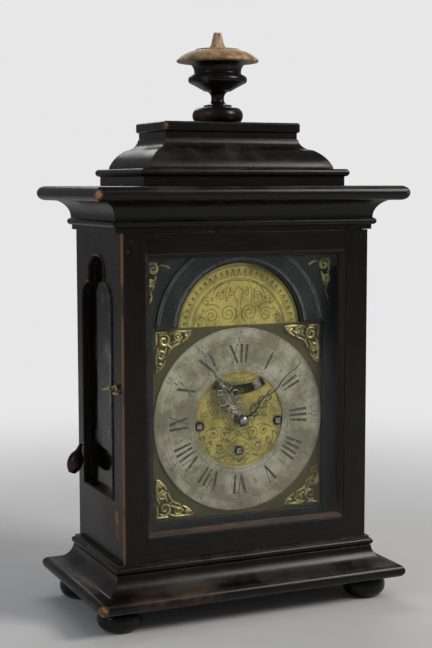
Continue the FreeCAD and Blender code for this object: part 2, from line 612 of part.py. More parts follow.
def hinges():
    front_axis = (HALF + KNUCKLE, CASE_FRONT - SEAT_GAP / 2)
    back_axis = (INNER - SEAT_GAP / 2, CASE_DEPTH + KNUCKLE)
    heights = (Z_BODY + HINGE_LOW, Z_BODY + HINGE_HIGH)
    case_leaves, pins, door_leaves, back_leaves = [], [], [], []
    for z in heights:
        case_leaves.append(leaf(front_axis, (0, 1), (1, 0), z, True))
        door_leaves.append(leaf(front_axis, (0, -1), (1, 0), z, False))
        case_leaves.append(leaf(back_axis, (1, 0), (0, 1), z, True))
        back_leaves.append(leaf(back_axis, (-1, 0), (0, 1), z, False))
        for axis in (front_axis, back_axis):
            pins.append(rod_z(axis[0], axis[1], PIN_RADIUS, z - LEAF_HEIGHT / 2 - 0.6, z + LEAF_HEIGHT / 2 + 0.6))
    add("hinge_case_leaves", *case_leaves)
    add("hinge_pins", *pins)
    add("door_hinge_leaves", *door_leaves)
    add("back_hinge_leaves", *back_leaves)


def hook():
    x = -HALF - HOOK_STANDOFF
    y, z = HOOK_PIVOT_Y, HOOK_Z
    play = HOOK_EYE_HALF + RUNNING * 2
    pivot = rod_x(y, z, 1.0, x - play - 0.8, -HALF + 6.0).fuse(rod_x(y, z, HOOK_WASHER, x - play - 1.6, x - play))
    add("hook_pivot", pivot.fuse(rod_x(y, z, HOOK_WASHER, x + play, -HALF)).removeSplitter())
    ring = rod_x(y, z, HOOK_EYE, x - HOOK_EYE_HALF, x + HOOK_EYE_HALF)
    arm = rod_y(x, z, HOOK_WIRE, y - HOOK_REACH, y - HOOK_EYE + 0.8)
    elbow = Part.makeSphere(HOOK_WIRE + 0.08, V(x, y - HOOK_REACH, z))
    tip = rod_z(x, y - HOOK_REACH, HOOK_WIRE, z - HOOK_DROP, z)
    grip = Part.makeCylinder(HOOK_WIRE, 10.0, V(x, y + HOOK_EYE - 0.3, z), V(-4.5, 8.0, 0.5))
    wire = join([ring, arm, elbow, tip, grip]).cut(rod_x(y, z, 1.0 + RUNNING, x - 3, x + 3))
    wire.rotate(V(x, y, z), V(1, 0, 0), -HOOK_LIFT)
    add("door_hook", wire)


def pull():
    """A pear on a thin stem that runs straight in through the left side."""
    z, x = PULL_Z, -HALF - PULL_OUT
    low = z - PULL_LENGTH
    pear = turned(x, PULL_Y, (0, z + 1.5), [(PULL_NECK, z + 1.5), ((2.1, z - 2.0), (3.1, z - 6.0)),
                  ((PULL_RADIUS, z - PULL_LENGTH * 0.66), (3.0, low)), (0, low)])
    pear.rotate(V(x, PULL_Y, z), V(0, 1, 0), PULL_TILT)
    stem = rod_x(PULL_Y, z, STEM_RADIUS, x, -INNER + STEM_INSIDE)
    knob = rod_x(PULL_Y, z, 1.8, -INNER + STEM_INSIDE, -INNER + STEM_INSIDE + 4.0)
    add("repeat_pull", join([pear, stem, knob]))
    bush = rod_x(PULL_Y, z, PULL_BUSH, -HALF, -INNER).cut(rod_x(PULL_Y, z, STEM_RADIUS + 0.1, -HALF, -INNER))
    add("pull_bush", bush)


# ---------------------------------------------------------------- dial and hands
def sector(inner, outer, half_angle, centre_z, y0, y1, middle_angle=0.0):
    """A curved slot below the point (0, centre_z)."""
    def at(radius, angle):
        turn = math.radians(angle + middle_angle)
        return (radius * math.sin(turn), centre_z - radius * math.cos(turn))
    steps = [(at(outer, 0), at(outer, half_angle)), at(inner, half_angle), (at(inner, 0), at(inner, -half_angle))]
    return prism_y(at(outer, -half_angle), steps, y0, y1)


def wind_places():
    return {"strike": (-WIND_X, WIND_Z), "quarter": (WIND_X, WIND_Z), "going": (0.0, WIND_LOW_Z)}


def dial():
    y0, y1 = DIAL_FRONT, DIAL_FRONT + DIAL_THICK
    plate = arch_opening(DIAL_HALF, DIAL_FOOT, DIAL_SHOULDER, ARCH_RADIUS, y0, y1)
    holes = [rod_y(x, z, WIND_HOLE, y0, y1) for x, z in wind_places().values()]
    holes.append(rod_y(0, CENTRE_Z, HOUR_PIPE + 1.0, y0, y1))
    holes.append(sector(SLOT_INNER, SLOT_OUTER, SLOT_HALF_ANGLE, VERGE_Z, y0, y1))
    feet = [rod_y(x, z, 2.0, y1, PLATE_FRONT) for x in (-50, 50) for z in (PLATE_FOOT + 20, PLATE_TOP - 30)]
    add("dial_plate", join([plate.cut(join(holes))] + feet))
    add("chapter_ring", ring_y(0, CENTRE_Z, RING_OUTER, RING_INNER, y0 - RING_THICK, y0))
    corners = []
    for side in (-1, 1):
        for edge_z, up in ((DIAL_SHOULDER, 1), (DIAL_FOOT, -1)):
            corners.append(spandrel(side, edge_z, up, y0))
    add("corner_spandrels", *corners)


def spandrel(side, edge_z, up, y1):
    """A pierced casting that fills the corner between the ring and the edge of the plate."""
    inset, reach = 2.0, 38.0
    x, z = DIAL_HALF - inset, edge_z - up * inset
    start = (side * x, z)
    bay = (side * (x - reach * 0.42), z - up * reach * 0.42)
    steps = [(side * (x - reach), z), (side * (x - reach * 0.9), z - up * 4), (bay, (side * (x - 4), z - up * reach * 0.9)),
             (side * x, z - up * reach)]
    plate = prism_y(start, steps, y1 - SPANDREL_THICK, y1)
    plate = plate.cut(rod_y(0, CENTRE_Z, RING_OUTER + 0.5, y1 - 5, y1 + 5))
    pierce = [(6.5, 6.5, 2.4), (15.0, 6.0, 2.2), (6.0, 15.0, 2.2), (22.5, 4.0, 1.5), (4.0, 22.5, 1.5), (12.5, 12.5, 1.6)]
    holes = [rod_y(side * (x - a), z - up * b, r, y1 - SPANDREL_THICK, y1) for a, b, r in pierce]
    return plate.cut(join(holes))


def hour_hand():
    y0, y1 = 14.5, 15.7
    z = CENTRE_Z
    boss = rod_y(0, z, 6.5, y0, y1)
    stem = prism_y((-1.3, z), [(-0.8, z + 40), (0, z + 54.2), (0.8, z + 40), (1.3, z)], y0, y1)
    rings = [ring_y(x * s, z + h, r, r - 1.0, y0, y1) for s in (-1, 1)
             for x, h, r in ((5.0, 13.5, 4.6), (6.2, 24.0, 6.6), (4.0, 34.0, 4.4))]
    spear = prism_y((0, z + 54.2), [(2.6, z + 44), (0, z + 39), (-2.6, z + 44)], y0, y1)
    hand = join([boss, stem, spear] + rings).cut(rod_y(0, z, HOUR_PIPE, y0, y1))
    hand.rotate(V(0, 0, z), V(0, 1, 0), HOUR_ANGLE)
    add("hour_hand", hand)


def minute_hand():
    y0, y1 = 11.5, 12.5
    z, length = CENTRE_Z, 76.7
    count = 36
    left, right = [], []
    for step in range(count + 1):
        share = step / count
        along = 4.0 + (length - 4.0) * share
        sway = 2.6 * math.sin(share * 4.5 * math.pi) * math.sin(math.pi * min(1.0, share * 1.15)) ** 0.5 if share < 0.87 else 0.0
        width = 1.7 * (1 - share) + 0.25
        left.append(V(sway - width, y0, z + along))
        right.append(V(sway + width, y0, z + along))
    blade = polygon_face(left + right[::-1]).extrude(V(0, y1 - y0, 0))
    loops = [ring_y(s * 3.4, z + h, 3.6, 2.5, y0, y1) for s, h in ((-1, 15), (1, 15), (-1, 23), (1, 26))]
    hand = join([blade, rod_y(0, z, 5.2, y0, y1)] + loops).cut(box(-1.6, 1.6, y0, y1, z - 1.6, z + 1.6))
    hand.rotate(V(0, 0, z), V(0, 1, 0), MINUTE_ANGLE)
    add("minute_hand", hand)
    dome = turned(0, 0, (0, 0), [(4.2, 0), ((3.2, 1.5), (1.4, 2.2)), (0, 2.2)])
    dome.rotate(V(0, 0, 0), V(1, 0, 0), 90)
    dome.translate(V(0, y0, z))
    add("hand_collet", dome.cut(rod_y(0, z, 1.0, y0 - 3, y0)))


# ---------------------------------------------------------------- movement
def minute_wheel_place():
    turn = math.radians(MINUTE_WHEEL_ANGLE)
    return (MOTION_DISTANCE * math.cos(turn), CENTRE_Z + MOTION_DISTANCE * math.sin(turn))


def mesh_turn(teeth, angle):
    """The turn that puts a gap of a wheel at this angle."""
    return angle + 180.0 / teeth


def centre_distance():
    return CENTRE_Z - WIND_LOW_Z


def plates():
    places = wind_places()
    mx, mz = minute_wheel_place()
    front_holes = [rod_y(x, z, ARBOR_RADIUS + RUNNING, PLATE_FRONT, PLATE_FRONT + PLATE_THICK)
                   for x, z in places.values()]
    back_holes = [rod_y(x, z, ARBOR_RADIUS + RUNNING, BACK_PLATE, BACK_FACE) for x, z in places.values()]
    front_holes.append(rod_y(0, CENTRE_Z, THIN_ARBOR + RUNNING, PLATE_FRONT, PLATE_FRONT + PLATE_THICK))
    back_holes.append(rod_y(0, CENTRE_Z, THIN_ARBOR + RUNNING, BACK_PLATE, BACK_FACE))
    contrate_z = contrate_height()
    pivot = 1.0 + RUNNING
    front_holes.append(rod_y(0, contrate_z, pivot, PLATE_FRONT, PLATE_FRONT + PLATE_THICK))
    back_holes.append(rod_y(0, contrate_z, pivot, BACK_PLATE, BACK_FACE))
    front_holes.append(rod_y(0, VERGE_Z, 1.2 + RUNNING, PLATE_FRONT, PLATE_FRONT + PLATE_THICK))
    back_holes.append(rod_y(0, VERGE_Z, 3.0, BACK_PLATE, BACK_FACE))
    for side in (-1, 1):
        front_holes.append(rod_y(side * HAMMER_X, HAMMER_Z, pivot, PLATE_FRONT, PLATE_FRONT + PLATE_THICK))
        back_holes.append(rod_y(side * HAMMER_X, HAMMER_Z, pivot, BACK_PLATE, BACK_FACE))
    front = box(-PLATE_HALF, PLATE_HALF, PLATE_FRONT, PLATE_FRONT + PLATE_THICK, PLATE_FOOT, PLATE_TOP)
    stud = rod_y(mx, mz, 1.2, PLATE_FRONT - 8.0, PLATE_FRONT)
    add("front_plate", join([front.cut(join(front_holes)), stud]))
    back = box(-PLATE_HALF, PLATE_HALF, BACK_PLATE, BACK_FACE, PLATE_FOOT, PLATE_TOP)
    # the hook that holds the pendulum still stands just beyond its rod
    turn = math.radians(MOCK_ANGLE)
    reach, beside = PENDULUM_LENGTH - HOLD_ABOVE_BOB, ROD_RADIUS + 0.3 + 1.2
    hx = reach * math.sin(turn) + beside * math.cos(turn)
    hz = VERGE_Z - reach * math.cos(turn) + beside * math.sin(turn)
    add("back_plate", join([back.cut(join(back_holes)), rod_y(hx, hz, 1.2, BACK_FACE, PENDULUM_Y + 2.5)]))
    corners = [(x, z) for x in (-PLATE_HALF + PILLAR_INSET, PLATE_HALF - PILLAR_INSET)
               for z in (PILLAR_LOW_Z, PILLAR_HIGH_Z)]
    y0, y1 = PLATE_FRONT + PLATE_THICK, BACK_PLATE
    pillars = []
    for x, z in corners:
        waist = [rod_y(x, z, PILLAR_RADIUS, y0, y1), rod_y(x, z, PILLAR_RADIUS + 1.3, y0, y0 + 4),
                 rod_y(x, z, PILLAR_RADIUS + 1.3, y1 - 4, y1), rod_y(x, z, PILLAR_RADIUS + 1.0, (y0 + y1) / 2 - 2, (y0 + y1) / 2 + 2)]
        pillars.append(join(waist))
    add("pillars", *pillars)
    seat = box(-INNER, INNER, MASK_FRONT + MASK_THICK, BACK_FACE + 1.0, PLATE_FOOT - SEAT_THICK, PLATE_FOOT)
    cleats = [box(min(s * INNER, s * (INNER - CLEAT)), max(s * INNER, s * (INNER - CLEAT)),
                  MASK_FRONT + MASK_THICK, BACK_FACE + 1.0, PLATE_FOOT - SEAT_THICK - CLEAT, PLATE_FOOT - SEAT_THICK)
              for s in (-1, 1)]
    add("seat_board", seat, *cleats)


def barrel(name, great_front):
    """A spring barrel with its great wheel; the plain ring inside is the coiled mainspring."""
    x, z = wind_places()[name]
    y0, y1 = DRUM_FRONT, DRUM_FRONT + DRUM_LENGTH
    shell = rod_y(x, z, DRUM_RADIUS, y0, y1).cut(rod_y(x, z, DRUM_RADIUS - DRUM_WALL, y0 + DRUM_WALL, y1 - DRUM_WALL))
    if name == "going":
        pitch = centre_distance() * GREAT_TEETH / (GREAT_TEETH + CENTRE_PINION_TEETH)
        great = wheel(x, z, great_front, WHEEL_THICK, GREAT_TEETH, pitch, 90.0)
    else:
        great = wheel(x, z, great_front, WHEEL_THICK, SIDE_GREAT_TEETH, SIDE_GREAT_PITCH, 90.0)
    bore = rod_y(x, z, ARBOR_RADIUS + RUNNING, y0 - 10, y1 + 10)
    drum = join([shell, great]).cut(bore)
    spring = ring_y(x, z, DRUM_RADIUS - DRUM_WALL, 8.0, y0 + DRUM_WALL, y1 - DRUM_WALL)
    add(name + "_barrel", drum, spring)


def winding_arbor(name):
    x, z = wind_places()[name]
    start = PLATE_FRONT - 4.5
    arbor = rod_y(x, z, ARBOR_RADIUS, start, BACK_FACE + 1.0)
    square = box(x - SQUARE_HALF, x + SQUARE_HALF, DIAL_FRONT - 1.0, start + 1, z - SQUARE_HALF, z + SQUARE_HALF)
    square = square.common(rod_y(x, z, SQUARE_HALF * 1.3, DIAL_FRONT - 1.0, start + 1))
    teeth = []
    for tooth in range(RATCHET_TEETH):
        a0, a1 = math.radians(tooth * 20.0), math.radians(tooth * 20.0 + 20.0)
        teeth.append(V(RATCHET_RADIUS * math.cos(a0), 0, RATCHET_RADIUS * math.sin(a0)))
        teeth.append(V((RATCHET_RADIUS - 1.4) * math.cos(a1), 0, (RATCHET_RADIUS - 1.4) * math.sin(a1)))
    ratchet = polygon_face(teeth).extrude(V(0, 2.0, 0))
    ratchet.translate(V(x, PLATE_FRONT - 3.0, z))
    add("winding_arbor_" + name, join([arbor, square, ratchet]))


def contrate_height():
    return CENTRE_Z + CENTRE_WHEEL_MODULE * (CENTRE_WHEEL_TEETH + CONTRATE_PINION_TEETH) / 2


def centre_arbor():
    z = CENTRE_Z
    pitch = centre_distance() * CENTRE_PINION_TEETH / (GREAT_TEETH + CENTRE_PINION_TEETH)
    arbor = rod_y(0, z, THIN_ARBOR, PLATE_FRONT - 4, BACK_FACE)
    nose = rod_y(0, z, 1.0, 9.6, 14)
    square = box(-1.6, 1.6, 11.5, 12.5, z - 1.6, z + 1.6)
    square.rotate(V(0, 0, z), V(0, 1, 0), MINUTE_ANGLE)
    pipe = rod_y(0, z, CANNON_PIPE, 12.5, PLATE_FRONT - 0.5)
    cannon_pitch = MOTION_DISTANCE * CANNON_TEETH / (CANNON_TEETH + MINUTE_WHEEL_TEETH)
    cannon = wheel(0, z, PLATE_FRONT - 3.4, 2.9, CANNON_TEETH, cannon_pitch,
                   mesh_turn(CANNON_TEETH, MINUTE_WHEEL_ANGLE), leaf=True)
    pinion = wheel(0, z, DRUM_FRONT - WHEEL_THICK - 1.1, WHEEL_THICK + 0.9, CENTRE_PINION_TEETH,
                   pitch, mesh_turn(CENTRE_PINION_TEETH, -90.0), leaf=True)
    great = wheel(0, z, BACK_PLATE - CENTRE_WHEEL_AHEAD, CENTRE_WHEEL_THICK, CENTRE_WHEEL_TEETH,
                  CENTRE_WHEEL_MODULE * CENTRE_WHEEL_TEETH / 2, 90.0, arms=4)
    add("centre_arbor", join([arbor, nose, square, pipe, cannon, pinion, great]))


def motion_work():
    x, z = minute_wheel_place()
    first = MOTION_DISTANCE * MINUTE_WHEEL_TEETH / (CANNON_TEETH + MINUTE_WHEEL_TEETH)
    second = MOTION_DISTANCE * MINUTE_PINION_TEETH / (MINUTE_PINION_TEETH + HOUR_WHEEL_TEETH)
    back = MINUTE_WHEEL_ANGLE + 180
    reverse = wheel(x, z, PLATE_FRONT - 3.2, 1.6, MINUTE_WHEEL_TEETH, first, back)
    pinion = wheel(x, z, PLATE_FRONT - 7.0, 4.0, MINUTE_PINION_TEETH, second,
                   mesh_turn(MINUTE_PINION_TEETH, back), leaf=True)
    add("minute_wheel", join([reverse, pinion]).cut(rod_y(x, z, 1.2 + RUNNING, 20, 40)))
    hour = wheel(0, CENTRE_Z, PLATE_FRONT - 6.6, 1.6, HOUR_WHEEL_TEETH, MOTION_DISTANCE - second, MINUTE_WHEEL_ANGLE)
    pipe = rod_y(0, CENTRE_Z, HOUR_PIPE, 14.5, PLATE_FRONT - 5.0)
    bore = rod_y(0, CENTRE_Z, CANNON_PIPE + RUNNING, 10, 40)
    add("hour_wheel", hour.fuse(pipe).cut(bore).removeSplitter())


def escapement():
    z = contrate_height()
    pinion_pitch = CENTRE_WHEEL_MODULE * CONTRATE_PINION_TEETH / 2
    arbor = join([rod_y(0, z, 1.3, PLATE_FRONT + PLATE_THICK + 0.5, BACK_PLATE - 0.5), rod_y(0, z, 1.0, PLATE_FRONT, BACK_FACE)])
    pinion = wheel(0, z, BACK_PLATE - CENTRE_WHEEL_AHEAD - 1.0, CENTRE_WHEEL_THICK + 2.0, CONTRATE_PINION_TEETH,
                   pinion_pitch, mesh_turn(CONTRATE_PINION_TEETH, -90.0), leaf=True)
    web_y, rim = 55.0, 1.4
    web = rod_y(0, z, CONTRATE_PITCH + 1.0, web_y, web_y + 1.4)
    ring = ring_y(0, z, CONTRATE_PITCH + 1.0, CONTRATE_PITCH - 1.0, web_y + 1.4, web_y + 1.4 + rim)
    tooth_y = web_y + 1.4 + rim
    teeth = []
    for tooth in range(CONTRATE_TEETH):
        block = box(-0.25, 0.25, tooth_y, tooth_y + 0.9, CONTRATE_PITCH - 1.0, CONTRATE_PITCH + 1.0)
        block.rotate(V(0, 0, 0), V(0, 1, 0), 360.0 / CONTRATE_TEETH * tooth)
        block.translate(V(0, 0, z))
        teeth.append(block)
    add("contrate_wheel", join([arbor, pinion, web, ring] + teeth))
    crown_pitch = CONTRATE_PITCH * CROWN_PINION_TEETH / CONTRATE_TEETH
    crown_y = tooth_y + 0.45 + crown_pitch + 0.25
    low, top = z + 5.0, VERGE_Z - 4.9
    shaft = join([rod_z(0, crown_y, 1.1, low - 0.2 + 3.5, top + 0.5), rod_z(0, crown_y, 0.7, low - 1.5, top + 3.0)])
    leaves = wheel(0, 0, 0, 7.0, CROWN_PINION_TEETH, crown_pitch, mesh_turn(CROWN_PINION_TEETH, 90.0), leaf=True)
    leaves.rotate(V(0, 0, 0), V(1, 0, 0), 90)
    leaves.translate(V(0, crown_y, z + CONTRATE_PITCH - 4.5))
    disc = rod_z(0, crown_y, CROWN_RADIUS, top - 6.4, top - 4.8)
    wall = disc_ring(crown_y, top - 4.8, top - 3.0)
    saws = []
    for tooth in range(CROWN_TEETH):
        turn = 360.0 / CROWN_TEETH * tooth
        wedge = Part.Face(Part.makePolygon([V(-1.9, 0, 0), V(1.9, 0, 0), V(1.9, 0, 3.0), V(-1.9, 0, 0)]))
        wedge = wedge.extrude(V(0, 1.4, 0))
        wedge.translate(V(0, CROWN_RADIUS - 1.55, top - 3.0))
        wedge.rotate(V(0, 0, 0), V(0, 0, 1), turn)
        wedge.translate(V(0, crown_y, 0))
        saws.append(wedge)
    add("crown_wheel", join([shaft, leaves, disc, wall] + saws))
    cocks(crown_y, low, top)
    verge(crown_y)


def disc_ring(y, z0, z1):
    return rod_z(0, y, CROWN_RADIUS, z0, z1).cut(rod_z(0, y, CROWN_RADIUS - 1.7, z0, z1))


def cocks(crown_y, low, top):
    """The bracket that carries the crown wheel, and the cock behind the back plate for the verge."""
    plate = box(-20, -16, crown_y - 1.3, BACK_PLATE, low - 1.8, top + 3.0)
    foot = box(-16, 2.6, crown_y - 1.3, crown_y + 2.6, low - 1.8, low + 0.8)
    head = box(-16, 2.6, crown_y - 2.2, crown_y + 2.2, top + 0.7, top + 3.0)
    bracket = join([plate, foot, head]).cut(rod_z(0, crown_y, 0.7 + RUNNING, low - 5, top + 5))
    y0 = BACK_FACE
    feet = [box(s * 12 - 4, s * 12 + 4, y0, y0 + 2.2, VERGE_Z - 5, VERGE_Z + 5) for s in (-1, 1)]
    bridge = box(-16, 16, y0 + 2.2, y0 + 4.0, VERGE_Z - 5, VERGE_Z + 5).cut(rod_y(0, VERGE_Z, 1.2 + RUNNING, y0, y0 + 6))
    add("verge_cocks", bracket, join(feet + [bridge]))


def verge(crown_y):
    staff = rod_y(0, VERGE_Z, 1.2, DIAL_FRONT + DIAL_THICK + 0.6, PENDULUM_Y + 2.5)
    pallets = []
    for offset, angle in ((-CROWN_RADIUS + 1.0, -50.0), (CROWN_RADIUS - 1.0, 50.0)):
        flag = box(-0.4, 0.4, crown_y + offset - 1.6, crown_y + offset + 1.6, -3.9, 0)
        flag.rotate(V(0, 0, 0), V(0, 1, 0), angle)
        flag.translate(V(0, 0, VERGE_Z))
        pallets.append(flag)
    y0 = DIAL_FRONT + DIAL_THICK + 0.6
    arm = box(-1.2, 1.2, y0, y0 + 1.0, -MOCK_RADIUS, 0)
    bob = box(-3.6, 3.6, y0, y0 + 1.0, -MOCK_RADIUS - 4.2, -MOCK_RADIUS + 4.2)
    mock = join([arm, bob, rod_y(0, 0, 3.0, y0, y0 + 1.0)])
    mock.rotate(V(0, 0, 0), V(0, 1, 0), -MOCK_ANGLE)
    mock.translate(V(0, 0, VERGE_Z))
    add("verge_staff", join([staff, mock] + pallets))
    hub = rod_y(0, 0, 3.2, PENDULUM_Y - 2.2, PENDULUM_Y + 2.2)
    rod = rod_z(0, PENDULUM_Y, ROD_RADIUS, -PENDULUM_LENGTH - BOB_RADIUS - 4, 0)
    bulge = BOB_THICK / 2
    lens = turned(0, 0, (0, -bulge), [(2.0, -bulge), ((BOB_RADIUS * 0.6, -bulge * 0.78), (BOB_RADIUS, -0.6)), (BOB_RADIUS, 0.6),
                  ((BOB_RADIUS * 0.6, bulge * 0.78), (2.0, bulge)), (0, bulge)])
    lens.rotate(V(0, 0, 0), V(1, 0, 0), 90)
    lens.translate(V(0, PENDULUM_Y, -PENDULUM_LENGTH))
    pendulum = join([hub, rod, lens]).cut(rod_y(0, 0, 1.2, PENDULUM_Y - 5, PENDULUM_Y + 5))
    pendulum.rotate(V(0, 0, 0), V(0, 1, 0), -MOCK_ANGLE)
    pendulum.translate(V(0, 0, VERGE_Z))
    add("pendulum", pendulum)


def bells_and_hammers():
    plate = box(-50, 50, PLATE_FRONT, BACK_FACE, PLATE_TOP, PLATE_TOP + BELL_PLATE)
    rim_z = PLATE_TOP + BELL_PLATE + BELL_RIM_ABOVE
    posts, bells = [], []
    for x, radius, height in (BELL_HOUR, BELL_QUARTER):
        posts.append(rod_z(x, BELL_Y, POST_RADIUS, PLATE_TOP, rim_z + height + 7))
        posts.append(rod_z(x, BELL_Y, POST_RADIUS + 2, PLATE_TOP, rim_z + height - BELL_WALL))
        posts.append(rod_z(x, BELL_Y, POST_RADIUS + 2, rim_z + height, rim_z + height + 4))
        wall = BELL_WALL
        steps = [(radius, rim_z), ((radius * 0.86, rim_z + height * 0.7), (radius * 0.42, rim_z + height)),
                 (0, rim_z + height), (0, rim_z + height - wall), (radius * 0.42 - wall * 0.4, rim_z + height - wall),
                 ((radius * 0.86 - wall * 0.8, rim_z + height * 0.7 - wall * 0.7), (radius - wall, rim_z))]
        bell = turned(x, BELL_Y, (radius - wall, rim_z), steps)
        bells.append(bell.cut(rod_z(x, BELL_Y, POST_RADIUS, rim_z, rim_z + height + 10)))
    add("bell_stand", join([plate] + posts))
    add("bells", *bells)
    for name, side, (x, radius, _) in (("hour_hammer", -1, BELL_HOUR), ("quarter_hammer", 1, BELL_QUARTER)):
        head_x = side * (abs(x) + radius + HAMMER_HEAD + HAMMER_GAP)
        head_z = rim_z + 2.5
        arbor = rod_y(side * HAMMER_X, HAMMER_Z, 1.0, PLATE_FRONT, BACK_FACE)
        boss = rod_y(side * HAMMER_X, HAMMER_Z, 2.6, BELL_Y - 3, BELL_Y + 3)
        reach = V(head_x - side * HAMMER_X, 0, head_z - HAMMER_Z)
        stem = Part.makeCylinder(1.2, reach.Length, V(side * HAMMER_X, BELL_Y, HAMMER_Z), reach)
        head = rod_y(head_x, head_z, HAMMER_HEAD, BELL_Y - 4, BELL_Y + 4)
        add(name, join([arbor, boss, stem, head]))


def make_all():
    for draw in (feet, base, sides, top_and_back, mask, cornice, bell_top, finial, front_door, back_door,
                 hinges, hook, pull, dial, hour_hand, minute_hand, plates, centre_arbor, motion_work,
                 escapement, bells_and_hammers):
        draw()
    barrel("going", DRUM_FRONT - WHEEL_THICK)
    barrel("strike", DRUM_FRONT + DRUM_LENGTH)
    barrel("quarter", DRUM_FRONT + DRUM_LENGTH)
    for name in wind_places():
        winding_arbor(name)


make_all()
os.makedirs("parts", exist_ok=True)
for name, shape in PARTS.items():
    shape.translate(SHIFT)
    shape.exportStep(os.path.join("parts", name + ".step"))
    print(name, len(shape.Solids), "solids", round(shape.Volume), "mm3", "valid", shape.isValid())
print(len(PARTS), "nodes")
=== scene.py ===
# %% [markdown]
# # A bracket clock in ebonised wood
# The clock's solids were drawn in a CAD program, and this lesson gives them their looks: soft edges, worn
# black polish, engraved brass, a silvered ring and pierced hands. The solids are loaded first. They are in
# metres, with +Z up and the glazed door towards -Y, and nothing here moves them.

# %% Load the clock
import json
import math
import bpy
from mathutils import Matrix, Vector


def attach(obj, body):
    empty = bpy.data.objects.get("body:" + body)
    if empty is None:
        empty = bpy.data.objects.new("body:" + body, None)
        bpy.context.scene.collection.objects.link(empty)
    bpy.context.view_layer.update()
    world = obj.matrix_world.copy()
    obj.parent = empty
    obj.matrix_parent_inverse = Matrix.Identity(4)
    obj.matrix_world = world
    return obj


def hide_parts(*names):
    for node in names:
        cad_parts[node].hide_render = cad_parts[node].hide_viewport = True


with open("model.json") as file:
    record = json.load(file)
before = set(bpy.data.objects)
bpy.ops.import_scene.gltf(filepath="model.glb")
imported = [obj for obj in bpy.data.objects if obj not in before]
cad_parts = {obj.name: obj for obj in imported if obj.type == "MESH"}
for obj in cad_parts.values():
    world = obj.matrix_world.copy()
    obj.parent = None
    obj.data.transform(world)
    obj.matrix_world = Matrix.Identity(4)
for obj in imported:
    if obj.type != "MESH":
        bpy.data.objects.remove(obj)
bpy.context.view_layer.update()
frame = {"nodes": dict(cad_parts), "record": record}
nodes = frame["nodes"]
body_of = {n: body for body, group in frame["record"]["behaviour"]["bodies"].items() for n in group}
MM = 0.001
DOOR_FACE = -59.75


def place(x, depth, z):
    """A point given in millimetres, with the depth counted back from the door's front face."""
    return Vector((x * MM, (depth + DOOR_FACE) * MM, z * MM))


print("loaded", len(nodes), "solids")

# %% [markdown]
# ## The camera
# The photograph was taken from the left and a little above. Its camera was worked out from the straight
# edges of the case: a long lens, turned 24 degrees to the right and 6 degrees down. A camera object takes
# these numbers directly, and a sensor of 36 mm along the picture's long side gives the same field of view.

# %% Camera
CAMERA_PLACE = (-0.50845, -1.1239, 0.38604)
CAMERA_TURN = (84.03, 0.1, -24.12)  # degrees about X, Y and Z
CAMERA_LENS = 74.3
bpy.ops.object.camera_add(location=CAMERA_PLACE, rotation=[math.radians(angle) for angle in CAMERA_TURN])
camera = bpy.context.object
camera.name = "photo_camera"
camera.data.sensor_width = 36.0
camera.data.lens = CAMERA_LENS
camera.data.clip_start = 0.02
bpy.context.scene.camera = camera
print("lens", camera.data.lens, "mm")

# %% [markdown]
# ## The studio
# A sweep of pale card, one large soft lamp at the front right, as in the photograph, a weaker one at the
# left and a strip behind that draws the edges of the dark wood. The world fills the shadows. The view
# transform is Standard, so a colour renders about as it is written.

# %% Floor, lamps and world
bpy.context.scene.view_settings.view_transform = "Standard"


def clear_selection():
    if bpy.context.object and bpy.context.object.mode != "OBJECT":
        bpy.ops.object.mode_set(mode="OBJECT")
    bpy.ops.object.select_all(action="DESELECT")


clear_selection()
bpy.ops.mesh.primitive_plane_add(size=1.0, location=(0, 0, 0))
floor = bpy.context.object
floor.name = "floor"
bpy.ops.object.mode_set(mode="EDIT")
bpy.ops.transform.resize(value=(9.0, 9.0, 1.0))
bpy.ops.object.mode_set(mode="OBJECT")


def soft_lamp(name, location, target, size, power, colour):
    bpy.ops.object.light_add(type="AREA", location=location)
    lamp = bpy.context.object
    lamp.name = name
    lamp.data.shape = "RECTANGLE"
    lamp.data.size, lamp.data.size_y = size
    lamp.data.energy = power
    lamp.data.color = colour
    lamp.rotation_euler = (Vector(target) - Vector(location)).to_track_quat("-Z", "Y").to_euler()
    return lamp


soft_lamp("key_lamp", (1.2, -1.15, 1.45), (0.0, 0.0, 0.25), (0.6, 0.8), 22.0, (1.0, 0.97, 0.92))
soft_lamp("side_lamp", (-1.7, -0.5, 1.1), (0.0, 0.0, 0.25), (0.5, 1.0), 5.0, (0.95, 0.97, 1.0))
soft_lamp("edge_lamp", (0.4, 1.5, 1.3), (0.0, 0.0, 0.35), (1.2, 0.5), 8.0, (1.0, 1.0, 1.0))

world = bpy.data.worlds.new("studio")
bpy.context.scene.world = world
world.use_nodes = True
air = world.node_tree
sky = air.nodes["Background"]  # what lights the clock
sky.inputs["Color"].default_value = (0.86, 0.87, 0.89, 1.0)
sky.inputs["Strength"].default_value = 0.20
seen = air.nodes.new("ShaderNodeBackground")  # what the camera sees behind it
seen.inputs["Color"].default_value = (0.80, 0.80, 0.81, 1.0)
seen.inputs["Strength"].default_value = 1.0
path = air.nodes.new("ShaderNodeLightPath")
either = air.nodes.new("ShaderNodeMath")
either.operation = "MAXIMUM"
choose = air.nodes.new("ShaderNodeMixShader")
air.links.new(path.outputs["Is Camera Ray"], either.inputs[0])
air.links.new(path.outputs["Is Transmission Ray"], either.inputs[1])
air.links.new(either.outputs[0], choose.inputs["Fac"])
air.links.new(sky.outputs[0], choose.inputs[1])
air.links.new(seen.outputs[0], choose.inputs[2])
air.links.new(choose.outputs[0], air.nodes["World Output"].inputs["Surface"])
print("three lamps")

# %% [markdown]
# ## A way to write materials
# Every finish here starts from the Principled shader and reads the piece's own Object coordinates, so that
# a pattern stays on the piece when it moves and has the same grain everywhere. The small class below adds
# nodes and links them in one line each. It could be done with node groups too, but plain nodes are easier
# to follow in the shader editor.

